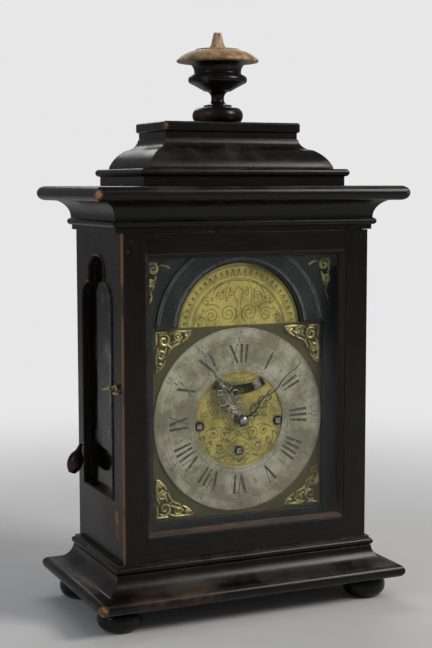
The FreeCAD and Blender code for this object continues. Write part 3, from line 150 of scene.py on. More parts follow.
# %% A finish: Principled shader and the nodes that feed it
class Finish:
    def __init__(self, name, **sockets):
        self.material = bpy.data.materials.new(name)
        self.material.use_nodes = True
        self.tree = self.material.node_tree
        self.shader = self.tree.nodes["Principled BSDF"]
        for socket, value in sockets.items():
            self.shader.inputs[socket.replace("_", " ")].default_value = value
        self.coords = self.add("ShaderNodeTexCoord").outputs["Object"]

    def add(self, kind, inputs=(), **settings):
        node = self.tree.nodes.new(kind)
        for key, value in settings.items():
            setattr(node, key, value)
        for key, value in dict(inputs).items():
            if isinstance(value, bpy.types.NodeSocket):
                self.tree.links.new(value, node.inputs[key])
            else:
                node.inputs[key].default_value = value
        return node

    def stretched(self, scale):
        return self.add("ShaderNodeMapping", {"Vector": self.coords, "Scale": scale}).outputs[0]

    def noise(self, scale, detail=4.0, rough=0.55, vector=None, distortion=0.0):
        inputs = {"Vector": vector or self.coords, "Scale": scale, "Detail": detail, "Roughness": rough,
                  "Distortion": distortion}
        return self.add("ShaderNodeTexNoise", inputs).outputs["Fac"]

    def ramp(self, value, low, high, start=0.0, end=1.0):
        """0 below low, 1 above high, smooth between."""
        inputs = {"Value": value, "From Min": low, "From Max": high, "To Min": start, "To Max": end}
        return self.add("ShaderNodeMapRange", inputs, interpolation_type="SMOOTHSTEP").outputs[0]

    def maths(self, operation, a, b=0.0):
        clamped = operation != "SUBTRACT"
        return self.add("ShaderNodeMath", {0: a, 1: b}, operation=operation, use_clamp=clamped).outputs[0]

    def vector_maths(self, operation, *vectors):
        return self.add("ShaderNodeVectorMath", dict(enumerate(vectors)), operation=operation).outputs

    def height(self):
        """The height above the floor, in metres."""
        return self.add("ShaderNodeSeparateXYZ", {0: self.coords}).outputs["Z"]

    def product(self, a, b):
        return self.maths("MULTIPLY", a, b)

    def mix(self, share, a, b):
        node = self.add("ShaderNodeMix", data_type="RGBA")
        for socket, value in ((node.inputs[0], share), (node.inputs[6], a), (node.inputs[7], b)):
            if isinstance(value, bpy.types.NodeSocket):
                self.tree.links.new(value, socket)
            else:
                socket.default_value = value
        return node.outputs[2]

    def near(self, point, radius):
        """1 at a point given in metres, fading to 0 at the radius."""
        gap = self.vector_maths("DISTANCE", self.coords, point)["Value"]
        return self.ramp(gap, radius, radius * 0.35)

    def edges(self, radius):
        """Bright where the surface turns within the radius, as at an edge that hands rub."""
        soft = self.add("ShaderNodeBevel", {"Radius": radius}, samples=6).outputs[0]
        flat = self.add("ShaderNodeNewGeometry").outputs["Normal"]
        return self.maths("SUBTRACT", 1.0, self.vector_maths("DOT_PRODUCT", soft, flat)["Value"])

    def facing(self, axis):
        """How far the surface faces along X, Y or Z, from -1 to 1."""
        normal = self.add("ShaderNodeNewGeometry").outputs["Normal"]
        return self.add("ShaderNodeSeparateXYZ", {0: normal}).outputs[axis]

    def bump(self, height, strength, distance):
        node = self.add("ShaderNodeBump", {"Height": height, "Strength": strength, "Distance": distance})
        self.tree.links.new(node.outputs[0], self.shader.inputs["Normal"])

    def feed(self, socket, value):
        self.tree.links.new(value, self.shader.inputs[socket])


def colour(red, green, blue):
    return (red, green, blue, 1.0)


print("finishes can be written")

# %% [markdown]
# ## Black polish over fruitwood
# The case was stained black and polished. After three centuries the black is gone from corners and edges,
# where reddish wood shows. Faces that turn up are painted a paler grey, partly a film of dust and partly
# painted sheen. Two noises stretched along the board make the grain. The Bevel node finds the edges, and a
# noise breaks the wear up so that no edge is evenly rubbed.

# %% Ebonised wood
GRAIN_ALONG = {"x": (0.07, 1.0, 1.0), "z": (1.0, 1.0, 0.07)}
WEAR_SPOTS = [  # where, how far it reaches, how bare the wood is there
    (place(-149, -24, 378), 0.007, 0.9),  # the cornice's corners, left and right
    (place(149, -24, 378), 0.004, 0.7),
    (place(-149, -24, 26), 0.009, 1.0),   # the base: left corner, front and left side
    (place(-105, -24, 27), 0.026, 0.36),
    (place(-60, -24, 27), 0.034, 0.36),
    (place(-134, 35, 40), 0.030, 0.34),
    (place(-67, 32.5, 437), 0.006, 0.8),  # the bell top: left edge, right end and left side
    (place(92, 14, 400), 0.016, 0.45),
    (place(-88, 60, 415), 0.030, 0.26),
    (place(-121, 30, 92), 0.034, 0.30),   # the left side, low down: a brown patch and a pale streak
    (place(-120, 16, 82), 0.011, 0.75),
    (place(-120, 17, 96), 0.012, 0.85),
    (place(-120, 16, 108), 0.008, 0.6)]


def ebonised(name, grain, wear=1.0, spots=(), rubbed_line=None):
    finish = Finish(name, Specular_IOR_Level=0.27)
    board = finish.stretched(GRAIN_ALONG[grain])
    fine = finish.noise(420.0, 6.0, 0.65, board)
    broad = finish.noise(60.0, 4.0, 0.6, board)
    cloud = finish.noise(22.0, 5.0, 0.6)
    black = finish.mix(finish.ramp(fine, 0.35, 0.7), colour(0.0034, 0.0031, 0.0030),
                       colour(0.0095, 0.0078, 0.0066))
    brown = finish.mix(finish.ramp(broad, 0.55, 0.78), black, colour(0.020, 0.0115, 0.0070))
    # painted sheen and dust: faces that turn up are mixed towards grey, more where the cloud noise is high
    dust_and_sheen = finish.ramp(finish.product(finish.facing("Z"), finish.ramp(cloud, 0.3, 0.7)), 0.15, 0.9)
    dust_and_sheen_tone = finish.mix(finish.product(dust_and_sheen, 0.5), brown, colour(0.085, 0.078, 0.068))
    ragged = finish.noise(150.0, 5.0, 0.7)
    rub = finish.product(finish.ramp(finish.edges(0.0012), 0.04, 0.22), finish.ramp(ragged, 0.36, 0.60))
    long_rub = finish.product(rub, finish.ramp(finish.noise(13.0, 2.0), 0.36, 0.62))
    worn = finish.product(long_rub, wear)
    for centre, radius, strength in spots:
        broken = finish.ramp(ragged, 0.30, 0.62, 0.35 * strength, strength)
        worn = finish.maths("MAXIMUM", worn, finish.product(finish.near(centre, radius), broken))
    if rubbed_line:  # an upright edge that hands have rubbed all its length
        level = finish.vector_maths("MULTIPLY", finish.coords, (1.0, 1.0, 0.0))[0]
        gap = finish.vector_maths("DISTANCE", level, rubbed_line)["Value"]
        along = finish.ramp(finish.noise(16.0, 3.0), 0.30, 0.52, 0.10, 0.62)
        worn = finish.maths("MAXIMUM", worn, finish.product(finish.ramp(gap, 0.0034, 0.0008), along))
    bare = finish.mix(finish.ramp(worn, 0.35, 1.0), colour(0.105, 0.046, 0.021), colour(0.35, 0.19, 0.090))
    finish.feed("Base Color", finish.mix(finish.ramp(worn, 0.03, 0.75), dust_and_sheen_tone, bare))
    dullness = finish.maths("ADD", finish.product(cloud, 0.7), worn)
    finish.feed("Roughness", finish.ramp(dullness, 0.15, 1.2, 0.24, 0.62))
    scratch = finish.maths("ADD", finish.product(fine, 0.5), finish.product(ragged, 0.5))
    finish.bump(scratch, 0.35, 0.0004)
    return finish.material


upright_wood = ebonised("ebonised_upright", "z", 1.0, WEAR_SPOTS, (-0.120, DOOR_FACE * MM, 0.0))
level_wood = ebonised("ebonised_level", "x", 1.0, WEAR_SPOTS)
TURNED_SPOTS = [(place(-17, 58, 445), 0.016, 0.5), (place(-20, 50, 478), 0.006, 0.6),
                (place(-131, 104, 127), 0.009, 0.45)]  # two on the urn, one on the pull
turned_wood = ebonised("ebonised_turned", "z", 0.7, TURNED_SPOTS)
print("black polish ready")

# %% [markdown]
# ## Bare wood
# The finial's lid and spire have lost their black, and the bead round the door's glass is rubbed brown.
# Boards inside the case were never polished. One recipe with other colours makes them all.

# %% Worn and plain wood
def bare_wood(name, dark, light, soot, grain="z", scale=160.0, black_above=None):
    finish = Finish(name, Specular_IOR_Level=0.4)
    board = finish.stretched(GRAIN_ALONG[grain])
    line = finish.noise(scale, 5.0, 0.6, board, 0.4)
    patch = finish.noise(42.0, 5.0, 0.65)
    wood = finish.mix(finish.ramp(line, 0.35, 0.68), colour(*dark), colour(*light))
    stained = finish.mix(finish.ramp(patch, soot, soot + 0.16), wood, colour(0.020, 0.014, 0.011))
    if black_above:
        black = finish.mix(line, colour(0.004, 0.0036, 0.0034), colour(0.014, 0.010, 0.008))
        high = finish.ramp(finish.height(), black_above - 0.006, black_above + 0.006)
        stained = finish.mix(high, stained, black)
    finish.feed("Base Color", stained)
    finish.feed("Roughness", finish.ramp(line, 0.2, 0.8, 0.42, 0.66))
    finish.bump(line, 0.3, 0.0003)
    return finish.material


lid_wood = bare_wood("rubbed_lid_wood", (0.25, 0.135, 0.062), (0.60, 0.40, 0.22), 0.62)
spire_wood = bare_wood("split_spire_wood", (0.36, 0.22, 0.12), (0.66, 0.48, 0.29), 0.68)
bead_wood = bare_wood("rubbed_bead_wood", (0.016, 0.009, 0.006), (0.085, 0.040, 0.020), 0.50, "x",
                      black_above=0.092)
pine = bare_wood("old_pine", (0.22, 0.12, 0.06), (0.40, 0.26, 0.14), 0.72, "x", 90.0)
print("bare wood ready")

# %% [markdown]
# ## Old brass
# Cast and hammered brass darkens in the hollows to olive brown and stays bright where it is dusted. A cloudy
# noise mixes the two. The dial's ground is matted with fine dots, which a Voronoi bump gives. Its corners
# round the ring are darkened as painted shade, and it is darker in one patch up and to the left of the
# centre. Movement plates are smoother and brighter, but the front plate, seen through the slot, gets a
# darker brass as painted shade.

# %% Brass, bell metal, steel and silvering
def metal(name, bright, tarnish, amount, rough, cloud=38.0, matted=0.0, gleam=1.0, corner_shade=None,
          dark_patch_at=None):
    finish = Finish(name, Metallic=gleam)
    haze = finish.noise(cloud, 6.0, 0.62)
    speck = finish.noise(520.0, 3.0, 0.6)
    mixed = finish.maths("ADD", finish.product(haze, 0.72), finish.product(speck, 0.28))
    share = finish.ramp(mixed, amount - 0.11, amount + 0.11)
    tone = finish.mix(share, colour(*tarnish), colour(*bright))
    if corner_shade:  # painted shade: the corners round the ring, below the arch, are darkened
        outside = finish.ramp(finish.near(place(0, 22, 174), 0.0935), 0.45, 0.15)
        low = finish.ramp(finish.height(), 0.2605, 0.2590)
        tone = finish.mix(finish.product(outside, low), tone, colour(*corner_shade))
    # darker in one patch round the given point, up and to the left of the dial's centre
    if dark_patch_at:
        dark_patch = finish.product(finish.near(dark_patch_at, 0.024), 0.75)
        tone = finish.mix(dark_patch, tone, colour(0.10, 0.088, 0.050))
    finish.feed("Base Color", tone)
    finish.feed("Roughness", finish.ramp(share, 0.0, 1.0, min(rough + 0.2, 0.9), rough))
    if matted:
        dots = finish.add("ShaderNodeTexVoronoi", {"Vector": finish.coords, "Scale": 1300.0})
        finish.bump(dots.outputs["Distance"], matted, 0.0002)
    else:
        finish.bump(speck, 0.12, 0.0001)
    return finish.material


# the dial's brass: painted shade (0.080, 0.068, 0.032) in the corners round the ring, and a darker patch at
# the last point
dial_brass = metal("engraved_dial_brass", (0.48, 0.385, 0.110), (0.24, 0.200, 0.062), 0.50, 0.46, 34.0, 0.45,
                   0.70, (0.080, 0.068, 0.032), place(-13, 22, 194))
cast_brass = metal("cast_mount_brass", (0.40, 0.33, 0.14), (0.105, 0.090, 0.042), 0.50, 0.46, 90.0, 0.0, 0.75)
plain_brass = metal("movement_brass", (0.70, 0.54, 0.25), (0.42, 0.31, 0.13), 0.42, 0.26)
# painted shade: the front movement plate, seen through the dial's slot, is given a darker brass for the shade
# inside the case
shade_dark_brass = metal("shaded_plate_brass", (0.30, 0.225, 0.095), (0.11, 0.080, 0.034), 0.50, 0.5)
bell_brass = metal("bell_metal", (0.60, 0.50, 0.32), (0.34, 0.27, 0.16), 0.45, 0.22)
hook_brass = metal("hook_brass", (0.66, 0.53, 0.28), (0.20, 0.15, 0.07), 0.46, 0.32, 200.0)

ring = Finish("silvered_ring", Metallic=0.40)
stain = ring.noise(26.0, 7.0, 0.68)
tint = ring.noise(15.0, 3.0, 0.5)
speck = ring.noise(380.0, 4.0, 0.7)
silver = ring.mix(ring.ramp(tint, 0.42, 0.60), colour(0.40, 0.345, 0.290), colour(0.385, 0.375, 0.265))
silver = ring.mix(ring.ramp(stain, 0.42, 0.62), colour(0.185, 0.155, 0.105), silver)
ring.feed("Base Color", ring.mix(ring.ramp(speck, 0.52, 0.72), silver, colour(0.22, 0.19, 0.145)))
ring.feed("Roughness", ring.ramp(stain, 0.3, 0.7, 0.62, 0.46))
ring.bump(speck, 0.2, 0.0001)
silvering = ring.material
blue_steel = metal("dark_hand_steel", (0.050, 0.046, 0.045), (0.018, 0.017, 0.018), 0.50, 0.34, 120.0, 0.0,
                   0.8)
bright_steel = metal("bright_steel", (0.42, 0.41, 0.39), (0.12, 0.112, 0.10), 0.48, 0.28, 260.0)
worn_steel = metal("worn_hand_steel", (0.33, 0.31, 0.285), (0.075, 0.070, 0.066), 0.50, 0.32, 300.0, 0.0,
                   0.85)
print("metals ready")

# %% [markdown]
# ## Wax, glass and paint
# Engraved lines are cut and filled with dark wax, so their colour is nearly flat, with gaps where the wax has
# gone. The panes are old glass: clear, slightly green, with dust. A shadow ray passes a pane almost freely,
# so that the dial behind it is lit without many light bounces. The mask round the arch is painted blue-black.

# %% Wax, glass and painted mask
def wax(name, dark, faded, amount):
    finish = Finish(name, Roughness=0.62)
    lost = finish.ramp(finish.noise(240.0, 4.0, 0.7), amount, amount + 0.14)
    finish.feed("Base Color", finish.mix(lost, colour(*dark), colour(*faded)))
    return finish.material


numeral_wax = wax("numeral_wax", (0.030, 0.032, 0.028), (0.20, 0.18, 0.15), 0.54)
faint_wax = wax("faint_ring_wax", (0.085, 0.075, 0.060), (0.22, 0.19, 0.15), 0.50)
brass_cut = wax("cut_in_brass", (0.040, 0.032, 0.012), (0.15, 0.12, 0.045), 0.52)


def glass(name, tint, passing, dust):
    pane = Finish(name, Transmission_Weight=1.0, IOR=1.25, Base_Color=colour(*tint))
    ray = pane.add("ShaderNodeLightPath").outputs["Is Shadow Ray"]
    pane.feed("Alpha", pane.maths("SUBTRACT", 1.0, pane.product(ray, passing)))
    pane.feed("Roughness", pane.ramp(pane.noise(30.0, 5.0), 0.4, 0.8, 0.01, dust))
    return pane.material


old_glass = glass("old_glass", (0.93, 0.97, 0.95), 0.92, 0.10)
dusty_glass = glass("dusty_side_glass", (0.40, 0.40, 0.37), 0.5, 0.45)

painted = Finish("blue_black_mask", Specular_IOR_Level=0.28)
scuff = painted.noise(50.0, 6.0, 0.7, painted.stretched((1.0, 1.0, 0.5)))
painted.feed("Base Color", painted.mix(painted.ramp(scuff, 0.42, 0.75), colour(0.005, 0.0055, 0.0065),
                                       colour(0.022, 0.0225, 0.024)))
painted.feed("Roughness", painted.ramp(scuff, 0.3, 0.7, 0.34, 0.58))
painted.bump(scuff, 0.15, 0.0002)
mask_paint = painted.material

card = Finish("pale_card", Roughness=0.75)
card.feed("Base Color", card.mix(card.noise(3.0, 3.0), colour(0.70, 0.70, 0.71), colour(0.735, 0.735, 0.745)))
glow = card.add("ShaderNodeEmission", {"Color": colour(0.80, 0.80, 0.81)}).outputs[0]
away = card.vector_maths("LENGTH", card.coords)["Value"]
first_ray = card.add("ShaderNodeLightPath").outputs["Is Camera Ray"]
far_card = card.product(first_ray, card.ramp(away, 0.3, 1.1))
blend = card.add("ShaderNodeMixShader", {0: far_card, 1: card.shader.outputs[0], 2: glow}).outputs[0]
card.tree.links.new(blend, card.tree.nodes["Material Output"].inputs["Surface"])
floor.data.materials.append(card.material)
print("wax, glass and paint ready")

# %% [markdown]
# ## Dressing the solids
# A solid whose form is already right only needs its finish. It is put into the object's material slots.

# %% Give each solid its finish
FINISHES = {
    upright_wood: ["side_panels", "door_stiles", "back_door_frame"],
    level_wood: ["base_moulding", "cornice_moulding", "plinth_board", "bell_top_moulding", "top_pad",
                 "door_rails", "back_rails"],
    turned_wood: ["bun_feet", "finial_urn", "repeat_pull"],
    lid_wood: ["finial_lid"], spire_wood: ["finial_spire"], bead_wood: ["door_glazing_beads"],
    pine: ["bottom_board", "top_board", "seat_board"],
    mask_paint: ["mask_board"],
    dial_brass: ["dial_plate"], cast_brass: ["corner_spandrels", "mask_scrolls"], silvering: ["chapter_ring"],
    hook_brass: ["door_hook", "hook_pivot", "door_eye", "pull_bush", "back_knob", "hinge_case_leaves",
                 "door_hinge_leaves", "back_hinge_leaves", "hinge_pins"],
    shade_dark_brass: ["front_plate"],
    plain_brass: ["back_plate", "pillars", "minute_wheel", "hour_wheel", "contrate_wheel", "crown_wheel",
                  "verge_cocks", "going_barrel", "strike_barrel", "quarter_barrel", "bell_stand", "pendulum"],
    bell_brass: ["bells"],
    bright_steel: ["hand_collet", "centre_arbor", "verge_staff", "winding_arbor_going",
                   "winding_arbor_strike", "winding_arbor_quarter", "hour_hammer", "quarter_hammer"],
    worn_steel: ["hour_hand"], blue_steel: ["minute_hand"],
    old_glass: ["door_glass", "back_door_glass"], dusty_glass: ["side_panes"],
}


def dress(obj, material):
    obj.data.materials.clear()
    obj.data.materials.append(material)


for material, names in FINISHES.items():
    for name in names:
        dress(nodes[name], material)
undressed = sorted(set(nodes) - {n for names in FINISHES.values() for n in names})
print("without a finish:", undressed)

# %% [markdown]
# ## Softer edges
# No edge of an old case is sharp, and a sharp edge catches no light. A copy of each wooden solid has its
# loose triangles merged, its flat faces joined, and a Bevel modifier with a small width put on. The copy
# stands for the solid. Smooth shading by angle keeps flats flat and makes turned parts round.

# %% Round the edges of the wooden pieces
def softened(name, width):
    clear_selection()
    source = nodes[name]
    copy = bpy.data.objects.new(name + "_softened", source.data.copy())
    bpy.context.scene.collection.objects.link(copy)
    bpy.context.view_layer.objects.active = copy
    copy.select_set(True)
    bpy.ops.object.mode_set(mode="EDIT")
    bpy.ops.mesh.select_all(action="SELECT")
    bpy.ops.mesh.remove_doubles(threshold=0.00001)
    bpy.ops.mesh.dissolve_limited(angle_limit=math.radians(1.0))
    bpy.ops.object.mode_set(mode="OBJECT")
    bevel = copy.modifiers.new("soft_edges", "BEVEL")
    bevel.width = width
    bevel.segments = 3
    bevel.limit_method = "ANGLE"
    bevel.angle_limit = math.radians(35)
    bevel.use_clamp_overlap = True
    bpy.ops.object.modifier_apply(modifier=bevel.name)
    bpy.ops.object.shade_smooth_by_angle(angle=math.radians(32))
    level = copy.modifiers.new("even_flats", "WEIGHTED_NORMAL")
    level.keep_sharp = True
    bpy.ops.object.modifier_apply(modifier=level.name)
    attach(copy, body_of[name])
    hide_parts(name)
    return copy


ROUNDING = {  # the width of each piece's softened edges, in millimetres
    "side_panels": 0.6, "door_stiles": 0.7, "door_rails": 0.5, "base_moulding": 0.6, "cornice_moulding": 0.6,
    "plinth_board": 0.6, "bell_top_moulding": 0.5, "top_pad": 2.6, "door_glazing_beads": 0.4,
    "finial_urn": 0.4, "finial_lid": 0.5, "finial_spire": 0.3, "bun_feet": 0.4, "mask_board": 0.5,
    "back_door_frame": 0.6, "repeat_pull": 0.2}
for name, width in ROUNDING.items():
    piece = softened(name, width * MM)
    print(piece.name, len(piece.data.polygons), "faces")

# %% [markdown]
# ## Lines cut by the engraver
# The dial carries rings, ticks and scrolls cut with a graver. Each line is a curve with a thin round bevel.
# It is turned into a mesh and pressed flat, so that it lies in the surface like filled wax. Many lines share
# one object, because they are one piece of work on one plate.

# %% Curves that become engraved lines
def to_mesh(curve):
    clear_selection()
    curve.select_set(True)
    bpy.context.view_layer.objects.active = curve
    bpy.ops.object.convert(target="MESH")
    return bpy.context.object


def strokes(name, lines, thick, depth, centre, flat=0.25, closed=False, order=4, taper=None):
    """Lines of (x, z) in millimetres round a centre, at a depth behind the door's face."""
    clear_selection()
    bpy.ops.curve.primitive_nurbs_path_add()
    curve = bpy.context.object
    curve.name = name
    data = curve.data
    data.splines.clear()
    data.bevel_depth = thick * MM / 2
    data.bevel_resolution = 1
    data.resolution_u = 3
    data.use_fill_caps = True
    for line in lines:
        spline = data.splines.new("NURBS")
        spline.points.add(len(line) - 1)
        for number, (point, (x, z)) in enumerate(zip(spline.points, line)):
            point.co = (x * MM, 0.0, z * MM, 1.0)
            point.radius = taper(number / (len(line) - 1)) if taper else 1.0
        spline.order_u = min(order, len(line))
        spline.use_endpoint_u = not closed
        spline.use_cyclic_u = closed
    piece = to_mesh(curve)
    moved = Matrix.Translation(place(centre[0], depth, centre[1]))
    piece.data.transform(moved @ Matrix.Diagonal((1, flat, 1, 1)))
    return piece


def finish_piece(piece, name, material, body, slot, *stands_for):
    piece.name = name
    piece.data.name = name
    dress(piece, material)
    clear_selection()
    piece.select_set(True)
    bpy.context.view_layer.objects.active = piece
    bpy.ops.object.shade_smooth_by_angle(angle=math.radians(40))
    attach(piece, body)
    if stands_for:
        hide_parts(*stands_for)
    print(name, len(piece.data.polygons), "faces")
    return piece


def joined(pieces):
    clear_selection()
    for piece in pieces:
        piece.select_set(True)
    bpy.context.view_layer.objects.active = pieces[0]
    if len(pieces) > 1:
        bpy.ops.object.join()
    return bpy.context.object


def on_clock(radius, angle, centre=(0.0, 0.0)):
    """The point at a radius and an angle in radians clockwise from twelve."""
    return (centre[0] + radius * math.sin(angle), centre[1] + radius * math.cos(angle))


def circle(radius, centre=(0.0, 0.0), count=48):
    return [on_clock(radius, 2 * math.pi * k / count, centre) for k in range(count)]


def arc(radius, first, last, centre=(0.0, 0.0), count=16):
    """Points on an arc, angles in degrees clockwise from twelve."""
    return [on_clock(radius, math.radians(first + (last - first) * k / count), centre)
            for k in range(count + 1)]


def volute(centre, radius, turns, start, hand=1, count=22, inner=0.12):
    """A spiral that winds in from the radius; start in degrees clockwise from twelve."""
    line = []
    for k in range(count + 1):
        share = k / count
        reach = radius * (1 - (1 - inner) * share)
        angle = math.radians(start + hand * 360 * turns * share)
        line.append(on_clock(reach, angle, centre))
    return line


def mirrored(lines):
    return [[(-x, z) for x, z in line] for line in lines]


print("engraving tools ready")

# %% [markdown]
# ## Numerals on the chapter ring
# Roman hour numerals are made of a few strokes: broad ones, narrow ones and short serifs. Each stroke is a
# four-cornered outline, wider towards the rim because the strokes follow the ring's radii. All outlines of
# the twelve numerals go into one flat mesh, which is extruded by a hair so that it has an edge.

# %% Roman numerals
CENTRE = (0.0, 174.0)
RING_FACE = 20.8


def flat_shapes(name, outlines, depth, thick, centre):
    """Outlines of (x, z) in millimetres as one thin plate, its back at the given depth."""
    mesh = bpy.data.meshes.new(name)
    corners, faces = [], []
    for outline in outlines:
        faces.append(tuple(range(len(corners), len(corners) + len(outline))))
        corners.extend(place(centre[0] + x, depth, centre[1] + z) for x, z in outline)
    mesh.from_pydata(corners, [], faces)
    piece = bpy.data.objects.new(name, mesh)
    bpy.context.scene.collection.objects.link(piece)
    clear_selection()
    piece.select_set(True)
    bpy.context.view_layer.objects.active = piece
    bpy.ops.object.mode_set(mode="EDIT")
    bpy.ops.mesh.select_all(action="SELECT")
    bpy.ops.mesh.extrude_region_move(TRANSFORM_OT_translate={"value": (0, -thick * MM, 0)})
    bpy.ops.mesh.select_all(action="SELECT")
    bpy.ops.mesh.normals_make_consistent(inside=False)
    bpy.ops.object.mode_set(mode="OBJECT")
    return piece


LOW, HIGH = 51.5, 68.5  # the radii of the numerals' feet and heads
NUMERAL_MIDDLE = 60.0
GLYPHS = {  # strokes as (foot, head, width), across the numeral in millimetres at its middle
    "I": (4.9, [(0.0, 0.0, 2.3)]),
    "V": (9.2, [(0.6, -2.9, 2.4), (0.6, 3.3, 0.8)]),
    "X": (9.2, [(3.0, -3.0, 2.4), (-3.2, 3.2, 0.8)]),
}
HOURS = ["XII", "I", "II", "III", "IIII", "V", "VI", "VII", "VIII", "IX", "X", "XI"]


def on_ring(radius, across, hour_angle):
    """A point at a radius, and so far across the numeral, with the offset growing towards the rim."""
    return on_clock(radius, math.radians(hour_angle) + across / NUMERAL_MIDDLE)


def bar_on_ring(ends, half, hour_angle):
    """A four-cornered bar between two ends, each a radius and a place across the numeral."""
    (low, x0), (high, x1) = ends
    return [on_ring(low, x0 - half, hour_angle), on_ring(low, x0 + half, hour_angle),
            on_ring(high, x1 + half, hour_angle), on_ring(high, x1 - half, hour_angle)]


SERIF_HALF, SERIF_REACH = 0.2, 0.6
outlines = []
for number, text in enumerate(HOURS):
    middle = 30.0 * number
    total = sum(GLYPHS[letter][0] for letter in text)
    at = -total / 2
    for letter in text:
        width, bars = GLYPHS[letter]
        for foot, head, thick in bars:
            x0, x1 = at + width / 2 + foot, at + width / 2 + head
            outlines.append(bar_on_ring(((LOW, x0), (HIGH, x1)), thick / 2, middle))
            for radius, x in ((LOW, x0), (HIGH, x1)):
                serif = ((radius - SERIF_HALF, x), (radius + SERIF_HALF, x))
                outlines.append(bar_on_ring(serif, thick / 2 + SERIF_REACH, middle))
        at += width
numerals = flat_shapes("hour_numerals", outlines, RING_FACE, 0.04, CENTRE)
finish_piece(numerals, "hour_numerals", numeral_wax, "case", "silvered_ring")

# %% [markdown]
# ## Minute track, figures and half-hour marks
# Outside the hours run two fine circles with a tick for each minute, and small figures at every fifth. Inside
# them is the quarter track. The figures are text objects: the font that comes with Blender is plain enough
# for such small figures. Each is made a mesh before it is turned into place.

# %% Tracks and ticks
MINUTE_TRACK = (70.6, 74.3)    # radii of the circles that bound each track
QUARTER_TRACK = (45.6, 49.6)
TICK_HALF, FIFTH_HALF = 0.16, 0.42
ring_lines = [circle(radius, count=72) for radius in MINUTE_TRACK + QUARTER_TRACK]
tracks = strokes("tracks", ring_lines, 0.42, RING_FACE, CENTRE, 0.2, closed=True)
rim_lines = strokes("rims", [circle(82.5, count=72)], 0.35, RING_FACE, CENTRE, 0.2, closed=True)
ticks = []
for minute in range(60):
    half = TICK_HALF if minute % 5 else FIFTH_HALF
    ticks.append(bar_on_ring([(radius, 0.0) for radius in MINUTE_TRACK], half, 6 * minute))
for quarter in range(48):
    ticks.append(bar_on_ring([(radius, 0.0) for radius in QUARTER_TRACK], TICK_HALF, 7.5 * quarter))
tick_marks = flat_shapes("ticks", ticks, RING_FACE, 0.03, CENTRE)


def turned_to(line, hour_angle, radius):
    """Moves a small drawing, upright at the origin, out to a radius and round the ring."""
    turn = math.radians(hour_angle)
    across, out = math.cos(turn), math.sin(turn)
    return [(x * across + (radius + z) * out, -x * out + (radius + z) * across) for x, z in line]


fleur = [[(0, -5.5), (0, -1.5), (0, 3.0)], [(0, -1.0), (1.8, 1.0), (2.6, 3.2), (1.6, 4.0)],
         [(0, -1.0), (-1.8, 1.0), (-2.6, 3.2), (-1.6, 4.0)], [(-1.4, -1.6), (0, -1.2), (1.4, -1.6)],
         [(0, 3.0), (0.9, 4.6), (0, 6.4), (-0.9, 4.6), (0, 3.0)]]
marks = [turned_to(line, 30 * k + 15, NUMERAL_MIDDLE) for k in range(12) for line in fleur]
half_hours = strokes("half_hours", marks, 0.5, RING_FACE, CENTRE, 0.2)
ring_cuts = joined([tracks, rim_lines, tick_marks, half_hours])
finish_piece(ring_cuts, "ring_tracks_and_marks", faint_wax, "case", "silvered_ring")

# %% Figures at every fifth minute
FIGURE_SIZE, FIGURE_FOOT = 7.4, 75.7
upright = Matrix.Translation((0, 0, FIGURE_FOOT * MM)) @ Matrix.Rotation(math.radians(90), 4, "X")
figures = []
for number in range(12):
    clear_selection()
    bpy.ops.object.text_add()
    label = bpy.context.object
    label.data.body = str(60 if number == 0 else 5 * number)
    label.data.size = FIGURE_SIZE * MM
    label.data.align_x = "CENTER"
    label.data.resolution_u = 3
    label = to_mesh(label)
    turned = Matrix.Rotation(math.radians(30 * number), 4, "Y")
    moved = Matrix.Translation(place(CENTRE[0], RING_FACE - 0.03, CENTRE[1]))
    label.data.transform(moved @ turned @ upright)
    figures.append(label)
finish_piece(joined(figures), "minute_figures", faint_wax, "case", "silvered_ring")

# %% [markdown]
# ## Engraving on the dial's centre
# The gold disc inside the ring is covered with scrolls: a scalloped collar round the hands, pairs of volutes
# below and beside it, and leaves that fill the gaps. One side is drawn and mirrored, as an engraver does.

# %% Scrolls of the dial's centre
PLATE_FACE = 22.0
centre_half = [volute((13, -14), 7.0, 1.6, 300), volute((25, -12), 5.2, 1.5, 40, -1),
               volute((8, -27), 5.6, 1.6, 90), volute((19, -26), 5.0, 1.5, 250, -1),
               volute((29, -22), 3.6, 1.3, 0), volute((34, 5), 4.2, 1.4, 180, -1),
               volute((24, 8), 4.6, 1.4, 60), volute((30, 16), 3.4, 1.3, 140),
               volute((7, -38), 2.6, 1.2, 200)]
centre_half += [[(0, -12), (4, -16), (9, -21), (13, -21), (19, -18)], [(3, -20), (6, -22), (9, -24)],
                [(18, -7), (23, -5), (29, -6), (33, -10)], [(33, -12), (36, -18), (34, -25), (28, -30)],
                [(0, -33), (6, -33), (13, -33), (20, -34)], [(14, 2), (19, 2), (24, 3), (29, 1)],
                [(13, -33), (16, -36), (21, -36), (24, -33)], [(36, -2), (40, -4), (41, -10), (38, -14)],
                [(16, 12), (20, 15), (25, 16), (27, 20)]]
for step in range(9):  # little leaves between the volutes
    x, z = 10 + 3.4 * step, -20 + 7 * math.sin(1.9 * step)
    centre_half.append([(x, z), (x + 1.2, z + 2.2), (x + 3.0, z + 2.6), (x + 2.0, z + 0.8), (x, z)])
SCALLOP = ((12.5, -15), (15.2, -9), (15.8, 0), (15.2, 9), (12.5, 15))  # radius and angle of each point
INNER_SCALLOP = ((10.5, -12), (12.6, 0), (10.5, 12))
collar = [[on_clock(r, math.radians(30 * k + a)) for r, a in shape]
          for shape in (SCALLOP, INNER_SCALLOP) for k in range(3, 10)]
fan = [[(0, -40), (2.2 * k, -35.5 + 0.18 * k * k)] for k in range(-4, 5)]
centre_lines = centre_half + mirrored(centre_half) + collar + fan
centre_cut = strokes("centre_scrolls", centre_lines, 0.75, PLATE_FACE, CENTRE, 0.16)
